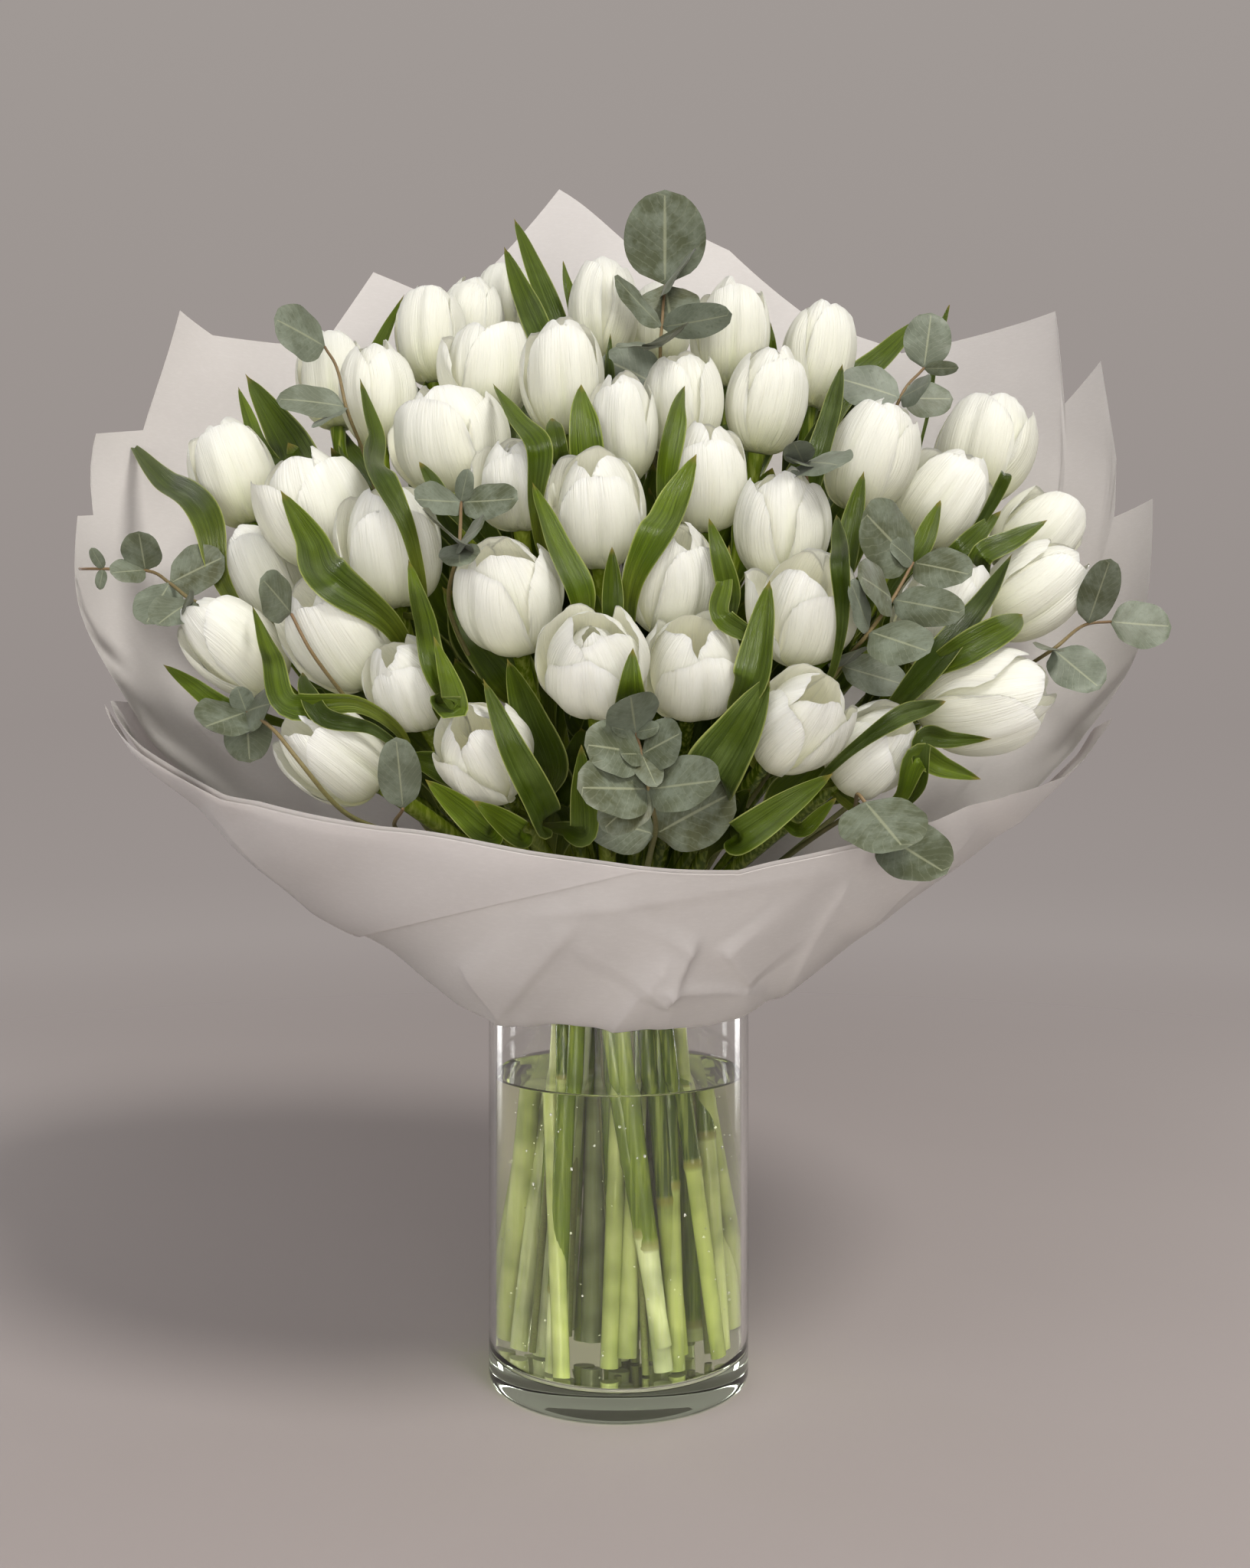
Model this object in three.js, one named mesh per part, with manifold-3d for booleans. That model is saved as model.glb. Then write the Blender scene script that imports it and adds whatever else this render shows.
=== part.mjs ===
// White tulips and eucalyptus, wrapped in paper, in a glass cylinder vase with water.
// Millimetres, +Z up, -Y towards the viewer. The origin is the middle of the vase's underside.

import * as THREE from "three";
import Module from "manifold-3d";

const wasm = await Module();
wasm.setup();

// ---------------------------------------------------------------- driving dimensions

const GAP = 0.3; // clearance between pieces that touch

const VASE = { radius: 75, height: 220, wall: 4, base: 15, segments: 32 };
const WATER_LEVEL = 174;

const STEM_RADIUS = 4.9; // to the corners of the five-sided stem
const STEM_SIDES = 5;
const STEM_SPACING = 9.9; // between neighbours at the waist
const TWIG_RADIUS = 2.0; // at the foot; it thins to half of that at the tip
const TWIG_SIDES = 4;
const WAIST_Z = 243; // where the bouquet is bound
const CUT_END_Z = VASE.base + 1.1; // the longest stems stand on the glass floor, slanting
const CUT_END_SPREAD = 22; // the shortest stems end this much higher
const FLOOR_SPREAD = [1.3, 1.68]; // how far the stems part towards the floor, least and most
const FLOOR_TWIST = [-35, 60]; // degrees that they wind about the axis, so that they cross

const PAPER = { thickness: 0.8, layer: 1.5, parting: 0.023, neckBottom: 232, neckTop: 244 };
const CORD_RADIUS = 1.5;

// ---------------------------------------------------------------- the reference view

// Positions u, v are read in the picture, in pixels, and a depth y turns them into a place.
// The eye is level, 900 mm in front of the vase's axis.
const EYE = new THREE.Vector3(3.7, -900, 357);
const FOCAL_PIXELS = 2027;
const CENTRE_U = 816;
const HORIZON_V = 986.5;

function placeAt(u, v, y) {
  const scale = (y - EYE.y) / FOCAL_PIXELS;
  return new THREE.Vector3(EYE.x + (u - CENTRE_U) * scale, y, EYE.z + (HORIZON_V - v) * scale);
}

// The heads lie on a dome that leans back: this is its depth at a place of the front view.
const DOME = { front: -170, low: 340, rise: 300, lean: 200, curve: 1.4, side: 130, halfWidth: 280 };

function domeDepth(point) {
  const up = Math.max(0, (point.z - DOME.low) / DOME.rise);
  return DOME.front + DOME.lean * up ** DOME.curve + DOME.side * (point.x / DOME.halfWidth) ** 2;
}

function placeOnDome(u, v, offset) {
  let point = placeAt(u, v, 0);
  for (let step = 0; step < 8; step += 1) {
    point = placeAt(u, v, domeDepth(point) + offset);
  }
  return point;
}

// ---------------------------------------------------------------- what grows in the bouquet

// Tulip heads: u and v of the middle, width and length in mm, lean to the right in degrees,
// how far it is open from 0 to 1, and how far it stands behind the dome in mm.
const HEADS = [
  [307, 621, 46, 60, -18, 0.15, 0],
  [437, 500, 42, 58, -5, 0.1, 25],
  [493, 520, 42, 57, -3, 0.1, 0],
  [563, 440, 40, 56, -4, 0.1, 10],
  [614, 428, 40, 56, 3, 0.1, 35],
  [634, 488, 50, 52, -6, 0.45, 0],
  [735, 495, 44, 60, -2, 0.1, -8],
  [787, 412, 40, 58, 2, 0.15, 15],
  [814, 562, 36, 54, -4, 0.2, 8],
  [590, 578, 60, 56, -8, 0.5, 0],
  [675, 634, 44, 46, -5, 0.5, 8],
  [780, 670, 48, 56, -3, 0.35, 0],
  [413, 669, 58, 60, -20, 0.6, 8],
  [511, 719, 52, 58, -5, 0.3, -4],
  [664, 782, 52, 56, -10, 0.3, 0],
  [345, 757, 42, 54, -28, 0.15, 18],
  [309, 846, 42, 60, -46, 0.25, 0],
  [443, 830, 48, 60, -33, 0.4, -6],
  [533, 897, 38, 48, -20, 0.2, 6],
  [775, 868, 50, 50, -2, 0.42, 0],
  [438, 985, 44, 58, -50, 0.3, 0],
  [633, 985, 44, 54, -20, 0.45, 0],
  [903, 875, 48, 50, 3, 0.45, 0],
  [876, 759, 46, 54, 5, 0.1, 0],
  [922, 627, 43, 54, 2, 0.2, 0],
  [1020, 693, 47, 56, -2, 0.15, 4],
  [1050, 800, 50, 52, 6, 0.95, 0],
  [1042, 946, 44, 56, 35, 0.45, 0],
  [1138, 982, 40, 50, 42, 0.2, 0],
  [1279, 915, 52, 64, 76, 0.3, 0],
  [1228, 806, 46, 58, 28, 0.3, 16],
  [1346, 773, 46, 60, 52, 0.25, 0],
  [1352, 700, 46, 58, 46, 0.3, 26],
  [1228, 655, 50, 56, 32, 0.45, 0],
  [1285, 590, 56, 64, 22, 0.55, 22],
  [1138, 600, 46, 60, 20, 0.2, 0],
  [1000, 527, 42, 55, 10, 0.15, 0],
  [1067, 468, 40, 60, 8, 0.1, 10],
  [955, 442, 44, 58, 3, 0.15, 6],
  [891, 532, 43, 54, 0, 0.15, 0],
  [660, 405, 40, 54, 0, 0.1, 55],
  [860, 428, 40, 54, 2, 0.1, 45],
];

// Tulip leaves: u and v of the tip, u and v of the lowest place that shows, the widest width
// in mm, -1 in front of the heads it crosses or 1 behind them, and its turn in degrees.
const LEAVES = [
  [167, 574, 283, 692, 22, 1, 20],
  [320, 488, 410, 640, 38, 1, 10],
  [311, 505, 342, 590, 14, 1, 30],
  [528, 384, 446, 495, 18, 1, -30],
  [473, 498, 515, 640, 20, -1, 35],
  [541, 441, 562, 515, 16, 1, 30],
  [547, 603, 585, 655, 14, -1, 30],
  [379, 650, 455, 770, 26, -1, 15],
  [340, 700, 420, 790, 16, 1, 40],
  [533, 730, 575, 880, 18, -1, 35],
  [567, 757, 665, 885, 34, 1, 0],
  [671, 285, 732, 430, 18, 1, 20],
  [658, 322, 706, 438, 20, 1, 10],
  [743, 377, 757, 430, 13, 1, 10],
  [645, 505, 708, 600, 18, -1, 25],
  [721, 546, 730, 595, 13, -1, 0],
  [759, 503, 767, 600, 22, -1, 5],
  [894, 505, 872, 610, 16, -1, 25],
  [909, 595, 857, 700, 24, -1, -20],
  [970, 442, 952, 560, 15, 1, -25],
  [1100, 475, 1066, 600, 16, -1, -25],
  [840, 654, 815, 800, 17, 1, -20],
  [799, 714, 800, 795, 13, -1, 0],
  [695, 630, 760, 780, 20, -1, 35],
  [722, 705, 785, 810, 26, 1, 20],
  [925, 678, 952, 780, 15, -1, 20],
  [952, 712, 940, 810, 14, -1, 20],
  [1003, 760, 975, 890, 22, -1, -25],
  [826, 851, 822, 935, 18, -1, 0],
  [1004, 882, 925, 1020, 34, -1, -20],
  [566, 830, 602, 925, 17, -1, 20],
  [633, 887, 718, 1075, 20, -1, 25],
  [662, 860, 712, 1010, 26, 1, 10],
  [759, 972, 762, 1085, 16, -1, 0],
  [395, 878, 432, 935, 12, -1, 20],
  [400, 882, 525, 965, 26, 1, 10],
  [329, 790, 402, 925, 17, -1, 30],
  [213, 868, 290, 922, 13, -1, 30],
  [528, 985, 610, 1015, 22, 1, 0],
  [555, 1018, 640, 1088, 18, -1, 20],
  [618, 1046, 682, 1090, 16, -1, 20],
  [1088, 1010, 962, 1095, 20, -1, -15],
  [1235, 916, 1168, 935, 12, -1, 0],
  [1295, 965, 1195, 968, 13, -1, 10],
  [1281, 1018, 1190, 990, 16, -1, 10],
  [1335, 802, 1248, 852, 20, -1, -15],
  [1317, 725, 1205, 880, 18, -1, -30],
  [1366, 680, 1272, 732, 16, -1, -15],
  [1307, 667, 1255, 718, 15, -1, -15],
  [1228, 653, 1202, 715, 14, -1, -20],
  [1128, 615, 1097, 745, 18, -1, -25],
  [1092, 672, 1080, 750, 12, -1, -20],
  [1205, 412, 1100, 512, 22, 1, -20],
];

// Eucalyptus: each branch forks into sprays. A spray has the joints of its twig, u and v from
// the lowest up, and its leaves: which joint, u and v of the middle, length and width in mm,
// and turn in degrees.
const BRANCHES = [
  [
    {
      joints: [[862, 505], [862, 455], [864, 427], [868, 373]],
      leaves: [
        [3, 868, 316, 52, 47, 0], [3, 878, 362, 34, 34, 0], [3, 873, 400, 36, 36, 0],
        [2, 834, 398, 40, 24, 25], [2, 906, 421, 42, 20, 60], [1, 888, 448, 30, 28, 0],
        [1, 835, 452, 30, 18, 40], [0, 822, 484, 38, 34, 0],
      ],
    },
  ],
  [
    {
      joints: [[478, 600], [452, 532], [447, 497], [424, 453]],
      leaves: [[3, 398, 437, 36, 36, 0], [1, 411, 524, 38, 26, 15], [1, 430, 545, 28, 16, 40]],
    },
    {
      joints: [[300, 800], [252, 785], [222, 762], [190, 745], [135, 743, 22], [104, 743, 26]],
      leaves: [
        [3, 186, 721, 24, 23, 0], [3, 172, 746, 22, 18, 0], [2, 263, 742, 34, 30, 0],
        [2, 207, 785, 32, 26, 0], [1, 224, 820, 34, 26, 0], [1, 266, 806, 36, 14, 55],
        [4, 128, 731, 14, 7, 0], [4, 132, 757, 12, 7, 0],
      ],
    },
  ],
  [
    {
      joints: [[420, 992], [372, 960], [322, 930]],
      leaves: [
        [2, 303, 937, 34, 30, 0], [2, 350, 920, 28, 28, 0], [2, 324, 963, 26, 24, 0],
        [2, 316, 914, 14, 12, 0],
      ],
    },
    {
      joints: [[430, 850], [394, 808]],
      leaves: [[1, 368, 786, 30, 24, 15]],
    },
    {
      joints: [[480, 1000], [503, 976]],
      leaves: [[1, 530, 1020, 44, 22, 15]],
    },
  ],
  [
    {
      joints: [[652, 790], [638, 720], [622, 680], [602, 656]],
      leaves: [
        [3, 580, 658, 28, 20, 0], [3, 606, 640, 16, 8, 0], [3, 641, 655, 30, 18, 0],
        [2, 595, 702, 40, 30, 0], [2, 660, 691, 28, 17, 0], [1, 610, 745, 26, 18, 0],
      ],
    },
  ],
  [
    {
      joints: [[855, 1090], [847, 1031], [838, 985], [830, 957]],
      leaves: [
        [3, 816, 954, 16, 9, 0], [3, 843, 954, 15, 9, 0], [3, 827, 938, 30, 26, 0],
        [2, 806, 978, 32, 28, 0], [2, 862, 972, 26, 24, 0], [2, 826, 985, 14, 14, 0],
        [2, 846, 1003, 22, 13, 0], [1, 803, 1030, 40, 32, 0], [1, 818, 1055, 30, 22, 0],
        [1, 885, 1026, 44, 28, 0], [0, 808, 1076, 38, 30, 0], [0, 905, 1062, 44, 36, 0],
      ],
    },
  ],
  [
    {
      joints: [[1150, 590], [1175, 520], [1206, 481]],
      leaves: [
        [2, 1212, 440, 34, 28, 0], [2, 1228, 481, 20, 9, 50], [1, 1188, 514, 36, 18, 30],
        [1, 1135, 505, 36, 30, 0], [1, 1222, 521, 30, 24, 0],
      ],
    },
    {
      joints: [[1060, 690], [1050, 605]],
      leaves: [[1, 1017, 592, 40, 16, 50], [1, 1095, 622, 42, 32, 0], [1, 1022, 620, 30, 20, 0]],
    },
  ],
  [
    {
      joints: [[1098, 870], [1135, 825], [1165, 783], [1192, 735]],
      leaves: [
        [3, 1158, 702, 44, 40, 0], [3, 1180, 722, 20, 14, 0], [3, 1226, 741, 34, 26, 0],
        [2, 1134, 763, 36, 30, 0], [2, 1200, 789, 44, 22, 15], [1, 1168, 836, 38, 28, 0],
        [1, 1114, 786, 32, 20, 30], [0, 1112, 850, 34, 20, 0], [0, 1152, 886, 36, 22, 0],
      ],
    },
  ],
  [
    {
      joints: [[1330, 878], [1375, 848], [1420, 815], [1450, 812]],
      leaves: [
        [2, 1432, 771, 42, 21, 0], [3, 1490, 816, 34, 30, 0], [1, 1403, 872, 34, 28, 0],
        [1, 1342, 842, 32, 16, 30],
      ],
    },
    {
      joints: [[1095, 1005], [1125, 1034], [1152, 1088]],
      leaves: [[1, 1145, 1066, 46, 40, 0], [2, 1188, 1112, 42, 32, 0]],
    },
  ],
];

// ---------------------------------------------------------------- closed surfaces

// Points and triangles become a solid that can be joined and cut.
function solidOf(points, triangles) {
  const vertProperties = new Float32Array(points.flatMap((point) => [point.x, point.y, point.z]));
  const triVerts = new Uint32Array(triangles.flat());
  return new wasm.Manifold(new wasm.Mesh({ numProp: 3, vertProperties, triVerts }));
}

// A skin over successive rings, closed by a point at each end. Each ring runs
// counter-clockwise about the way from the first ring to the last.
function skinSolid(rings, start, end) {
  const sides = rings[0].length;
  const points = [start, ...rings.flat(), end];
  const triangles = [];
  const last = points.length - 1;
  const at = (ring, side) => 1 + ring * sides + (side % sides);
  for (let side = 0; side < sides; side += 1) {
    triangles.push([0, at(0, side + 1), at(0, side)]);
    for (let ring = 0; ring < rings.length - 1; ring += 1) {
      triangles.push([at(ring, side), at(ring, side + 1), at(ring + 1, side + 1)]);
      triangles.push([at(ring, side), at(ring + 1, side + 1), at(ring + 1, side)]);
    }
    triangles.push([last, at(rings.length - 1, side), at(rings.length - 1, side + 1)]);
  }
  return solidOf(points, triangles);
}

// A thin sheet between two grids of points that match, closed by a strip round its border.
function sheetSolid(inner, outer) {
  const columns = inner.length;
  const rows = inner[0].length;
  const points = [...inner.flat(), ...outer.flat()];
  const half = columns * rows;
  const inside = (column, row) => column * rows + row;
  const outside = (column, row) => half + column * rows + row;
  const triangles = [];
  for (let c = 0; c < columns - 1; c += 1) {
    for (let r = 0; r < rows - 1; r += 1) {
      triangles.push([outside(c, r), outside(c + 1, r), outside(c + 1, r + 1)]);
      triangles.push([outside(c, r), outside(c + 1, r + 1), outside(c, r + 1)]);
      triangles.push([inside(c, r), inside(c + 1, r + 1), inside(c + 1, r)]);
      triangles.push([inside(c, r), inside(c, r + 1), inside(c + 1, r + 1)]);
    }
  }
  const upTo = (count) => Array.from({ length: count - 1 }, (_, step) => step);
  const border = [
    ...upTo(columns).map((c) => [c, 0]),
    ...upTo(rows).map((r) => [columns - 1, r]),
    ...upTo(columns).map((c) => [columns - 1 - c, rows - 1]),
    ...upTo(rows).map((r) => [0, rows - 1 - r]),
  ];
  border.forEach((here, index) => {
    const next = border[(index + 1) % border.length];
    triangles.push([outside(...next), outside(...here), inside(...here)]);
    triangles.push([outside(...next), inside(...here), inside(...next)]);
  });
  return solidOf(points, triangles);
}

// A solid from a closed profile turned about Z: the profile runs from the axis to the axis.
function turnedSolid(profile, segments) {
  const ring = ([radius, z]) =>
    Array.from({ length: segments }, (_, step) => {
      const angle = (2 * Math.PI * step) / segments;
      return new THREE.Vector3(radius * Math.cos(angle), radius * Math.sin(angle), z);
    });
  const [, startZ] = profile[0];
  const [, endZ] = profile[profile.length - 1];
  const rings = profile.slice(1, -1).map(ring);
  return skinSolid(rings, new THREE.Vector3(0, 0, startZ), new THREE.Vector3(0, 0, endZ));
}

const MERGE_LENGTH = 0.03; // edges shorter than this, left by a join or a cut, are merged

function joined(solids) {
  return wasm.Manifold.union(solids);
}

// The body that a join or a cut leaves, without loose scraps.
function largestBody(solid) {
  return solid.decompose().sort((a, b) => b.volume() - a.volume())[0];
}

// ---------------------------------------------------------------- small geometry

const lerp = THREE.MathUtils.lerp;
const radians = THREE.MathUtils.degToRad;
const TOWARDS_VIEWER = new THREE.Vector3(0, -1, 0);
const UP = new THREE.Vector3(0, 0, 1);

function along(point, direction, distance) {
  return point.clone().addScaledVector(direction, distance);
}

function directionFrom(from, to) {
  return to.clone().sub(from).normalize();
}

function acrossOf(direction, other) {
  return new THREE.Vector3().crossVectors(direction, other).normalize();
}

// A regular ring of points round a centre, square to a direction.
function ringAt(centre, direction, radius, sides) {
  const first = acrossOf(TOWARDS_VIEWER, direction).negate();
  const second = acrossOf(direction, first);
  return Array.from({ length: sides }, (_, step) => {
    const angle = (2 * Math.PI * step) / sides;
    return along(along(centre, first, radius * Math.cos(angle)), second, radius * Math.sin(angle));
  });
}

// A rod through a list of points, with the ends cut square, and thinner at its end if so given.
function rodSolid(path, radius, sides, endDirection, endRadius = radius) {
  const last = path.length - 1;
  const rings = path.map((point, index) => {
    const before = path[Math.max(0, index - 1)];
    const after = path[Math.min(last, index + 1)];
    const direction = index === last && endDirection ? endDirection : directionFrom(before, after);
    return ringAt(point, direction, lerp(radius, endRadius, index / last), sides);
  });
  return skinSolid(rings, path[0], path[last]);
}

function lengthened(path, extra) {
  const last = path.length - 1;
  const start = along(path[0], directionFrom(path[1], path[0]), extra);
  const end = along(path[last], directionFrom(path[last - 1], path[last]), extra);
  return [start, ...path.slice(1, last), end];
}

// The distance from a point to a straight stretch.
function distanceToStretch(point, from, to) {
  const stretch = new THREE.Line3(from, to);
  return stretch.closestPointToPoint(point, true, new THREE.Vector3()).distanceTo(point);
}

// ---------------------------------------------------------------- tulip heads

// One third of a head, going round: an outer petal's edge, its rib and its other edge, and the
// rib of the inner petal beside it. Each has its angle in degrees from the outer petal's rib,
// the height of its rim and its distance from the axis, as shares of the head's.
const PETAL_COLUMNS = [
  [-40, 0.87, 0.99],
  [0, 1.0, 1.05],
  [40, 0.87, 0.99],
  [60, 0.96, 0.87],
];
const HEAD_ROWS = [[0.0, 0.17], [0.17, 0.74], [0.5, 1.0], [0.82, 0.84]];
const RIM_CLOSED = 0.4;
const RIM_OPEN = 1.1;
const PETAL_THICKNESS = 1.2;
const GOLDEN_ANGLE = radians(137.5);

function makeHead(row, index) {
  const [u, v, width, length, lean, open, behind] = row;
  const centre = placeOnDome(u, v, behind);
  return { u, v, radius: width / 2, length, lean: radians(lean), open, centre, turn: index * GOLDEN_ANGLE };
}

// Two balls fill a head's outline closely enough to keep heads and leaves apart.
const HEAD_BALLS = [-0.13, 0.16];

function placeHead(head) {
  const tie = new THREE.Vector3(0, 0, WAIST_Z);
  const away = head.centre.clone().sub(tie);
  const nod = Math.atan2(-away.y, Math.hypot(away.x, away.z)) * 1.1 + radians(3);
  const sideways = Math.sin(head.lean) * Math.cos(nod);
  head.axis = new THREE.Vector3(sideways, -Math.sin(nod), Math.cos(head.lean) * Math.cos(nod));
  head.base = along(head.centre, head.axis, -head.length / 2);
  head.balls = HEAD_BALLS.map((share) => along(head.centre, head.axis, share * head.length));
}

// Heads that would run into each other part along the line of sight, so that each keeps its
// place in the front view.
const SETTLE_STEPS = 160;
const HEAD_CLEARANCE = 1.2;

function settleHeads(heads) {
  for (let step = 0; step < SETTLE_STEPS; step += 1) {
    heads.forEach(placeHead);
    const moves = heads.map(() => 0);
    heads.forEach((a, i) => {
      heads.slice(i + 1).forEach((b, offset) => {
        const wanted = 1.02 * (a.radius + b.radius) + HEAD_CLEARANCE;
        const nearest = Math.min(...a.balls.flatMap((p) => b.balls.map((q) => p.distanceTo(q))));
        if (nearest < wanted) {
          const sign = a.centre.y < b.centre.y ? -1 : 1;
          moves[i] += sign * 0.3 * (wanted - nearest);
          moves[i + 1 + offset] -= sign * 0.3 * (wanted - nearest);
        }
      });
    });
    heads.forEach((head, i) => {
      head.centre = placeAt(head.u, head.v, head.centre.y + moves[i]);
    });
  }
  heads.forEach(placeHead);
}

function headColumns(turn) {
  return [0, 120, 240].flatMap((third) =>
    PETAL_COLUMNS.map(([angle, rim, distance]) => ({ angle: turn + radians(third + angle), rim, distance })),
  );
}

function headSolid(head) {
  const first = acrossOf(TOWARDS_VIEWER, head.axis).negate();
  const second = acrossOf(head.axis, first);
  const columns = headColumns(head.turn);
  const rimRadius = lerp(RIM_CLOSED, RIM_OPEN, head.open);
  const floorShare = lerp(0.72, 0.25, head.open);
  const place = (angle, radius, height) => {
    const outwards = along(along(head.base, head.axis, height), first, radius * Math.cos(angle));
    return along(outwards, second, radius * Math.sin(angle));
  };
  const outer = HEAD_ROWS.map(([height, radius], row) =>
    columns.map(({ angle, rim, distance }) => {
      const share = row === 0 ? 1 : distance;
      return place(angle, radius * share * head.radius, height * head.length * lerp(1, rim, height));
    }),
  );
  const rimRing = (inset) =>
    columns.map(({ angle, rim, distance }) => {
      return place(angle, rimRadius * distance * head.radius - inset, rim * head.length);
    });
  const floor = along(head.base, head.axis, floorShare * head.length);
  return skinSolid([...outer, rimRing(0), rimRing(PETAL_THICKNESS)], head.base, floor);
}

// A plain spindle that holds a whole head, to cut clear what passes close by.
const ENVELOPE_SIDES = 10;
const ENVELOPE_ROWS = [[0, 0.2], [0.17, 0.82], [0.5, 1.1]];

function headEnvelope(head) {
  const rows = [...ENVELOPE_ROWS, [0.84, lerp(0.95, 1.25, head.open)], [1, lerp(0.5, 1.3, head.open)]];
  const rings = rows.map(([height, radius]) => {
    const middle = along(head.base, head.axis, height * (head.length + 2 * GAP) - GAP);
    return ringAt(middle, head.axis, radius * head.radius + GAP, ENVELOPE_SIDES);
  });
  const end = along(head.base, head.axis, head.length + GAP);
  return skinSolid(rings, along(head.base, head.axis, -GAP), end);
}

// ---------------------------------------------------------------- stems

// Where each stem passes the waist: on the side that its head leans to, drawn in to the
// middle and then apart until no two are closer than their spacing.
const GATHER_STEPS = 400;
const WAIST_SCALE = 46;

function gatherAtWaist(stems) {
  const tie = new THREE.Vector3(0, 0, WAIST_Z);
  const spots = stems.map((stem) => {
    const away = directionFrom(tie, stem.aim);
    return new THREE.Vector2(away.x * WAIST_SCALE, (away.y + 0.3) * WAIST_SCALE);
  });
  for (let step = 0; step < GATHER_STEPS; step += 1) {
    const pull = step < GATHER_STEPS / 2 ? 0.985 : 1;
    spots.forEach((spot) => spot.multiplyScalar(pull));
    spots.forEach((a, i) => {
      spots.slice(i + 1).forEach((b, offset) => {
        const spacing = stems[i].spacing + stems[i + 1 + offset].spacing;
        const between = b.clone().sub(a);
        const short = spacing - between.length();
        if (short > 0) {
          between.setLength(short / 2);
          b.add(between);
          a.sub(between);
        }
      });
    });
  }
  return spots;
}

// Below the waist each stem winds and parts by its own share: those that wind most stand
// furthest out.
function belowWaist(spot, z, index) {
  const down = (WAIST_Z - z) / (WAIST_Z - VASE.base);
  const share = (index * 0.618) % 1;
  const twist = radians(lerp(...FLOOR_TWIST, share)) * down;
  const spread = lerp(1, lerp(...FLOOR_SPREAD, Math.abs(2 * share - 1)), down);
  const turned = spot.clone().rotateAround(new THREE.Vector2(), twist).multiplyScalar(spread);
  return new THREE.Vector3(turned.x, turned.y, z);
}

function cutEnd(spot, index) {
  const share = (index * 0.755) % 1;
  return belowWaist(spot, CUT_END_Z + CUT_END_SPREAD * share ** 2, index);
}

const STEM_LEAVING = 0.3; // how upright a stem leaves the waist

// From the cut end to the waist, then in a bow to the head, which it meets square.
function stemPath(head, spot, index) {
  const waist = belowWaist(spot, WAIST_Z, index);
  const top = along(head.base, head.axis, -GAP);
  const reach = waist.distanceTo(top);
  const leaving = directionFrom(waist, top).lerp(UP, STEM_LEAVING).normalize();
  const bow = new THREE.CubicBezierCurve3(
    waist,
    along(waist, leaving, reach * 0.3),
    along(top, head.axis, -reach * 0.28),
    top,
  );
  return [cutEnd(spot, index), waist, bow.getPoint(0.35), bow.getPoint(0.75), top];
}

// Stems that cross below the waist are one body as they are. Where a stem or a group of them
// stands alone, a short bridge to its nearest neighbour makes their contact part of the body.
const BRIDGE_RADIUS = 1.8;
const BRIDGE_Z = WAIST_Z - 6;
const CROSSING_CHECKS = 24;

function atHeight([foot, waist], z) {
  return waist.clone().lerp(foot, (waist.z - z) / (waist.z - foot.z));
}

function stemsCross(a, b) {
  const lowest = Math.max(a[0].z, b[0].z);
  return Array.from({ length: CROSSING_CHECKS }, (_, check) => {
    const z = lerp(lowest, WAIST_Z, check / CROSSING_CHECKS);
    return atHeight(a, z).distanceTo(atHeight(b, z));
  }).some((distance) => distance < 1.5 * STEM_RADIUS);
}

function contactBridges(paths) {
  const groups = paths.map((_, index) => index);
  const pairs = paths.flatMap((_, i) => paths.slice(i + 1).map((__, offset) => [i, i + 1 + offset]));
  const unite = ([i, j]) => {
    const [from, to] = [groups[i], groups[j]];
    groups.forEach((group, index) => {
      groups[index] = group === from ? to : group;
    });
  };
  pairs.filter(([i, j]) => stemsCross(paths[i], paths[j])).forEach(unite);
  const spans = pairs.map((pair) => ({ pair, ends: pair.map((index) => atHeight(paths[index], BRIDGE_Z)) }));
  spans.sort((a, b) => a.ends[0].distanceTo(a.ends[1]) - b.ends[0].distanceTo(b.ends[1]));
  const bridges = [];
  spans.forEach(({ pair, ends }) => {
    if (groups[pair[0]] !== groups[pair[1]]) {
      bridges.push(rodSolid(ends, BRIDGE_RADIUS, 3));
      unite(pair);
    }
  });
  return bridges;
}

function stemSolid(stem, grow) {
  const path = grow > 0 ? lengthened(stem.path, GAP) : stem.path;
  return rodSolid(path, STEM_RADIUS + grow, STEM_SIDES, stem.head.axis);
}

// ---------------------------------------------------------------- keeping clear

// Balls along a rod stand for it when something else has to find its way round.
function ballsAlong(path, radius) {
  const balls = [];
  for (let index = 1; index < path.length; index += 1) {
    const steps = Math.ceil(path[index - 1].distanceTo(path[index]) / (2 * radius));
    for (let step = 0; step < steps; step += 1) {
      balls.push({ centre: path[index - 1].clone().lerp(path[index], step / steps), radius });
    }
  }
  return balls;
}

const BLADE_CLEARANCE = 3;

function isBlocked(middle, side, halfWidth, heads) {
  const from = along(middle, side, -halfWidth);
  const to = along(middle, side, halfWidth);
  return heads.some((head) =>
    head.balls.some((ball) => distanceToStretch(ball, from, to) < 1.05 * head.radius + BLADE_CLEARANCE),
  );
}

// A blade moves along Y, towards the viewer or away, until no head is in its way.
const CLEAR_ROUNDS = 40;
const CLEAR_STEP = 1.5;

function clearBlade(path, side, halfWidths, heads, way) {
  const moved = path.map((point) => point.clone());
  for (let round = 0; round < CLEAR_ROUNDS; round += 1) {
    for (let index = 1; index < moved.length; index += 1) {
      [0, 0.25, 0.5, 0.75, 1].forEach((share) => {
        const middle = moved[index - 1].clone().lerp(moved[index], share);
        const halfWidth = lerp(halfWidths[index - 1], halfWidths[index], share);
        if (isBlocked(middle, side, halfWidth, heads)) {
          moved[index].y += way * CLEAR_STEP * share;
          moved[index - 1].y += way * CLEAR_STEP * (1 - share);
        }
      });
    }
  }
  return moved;
}

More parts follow.
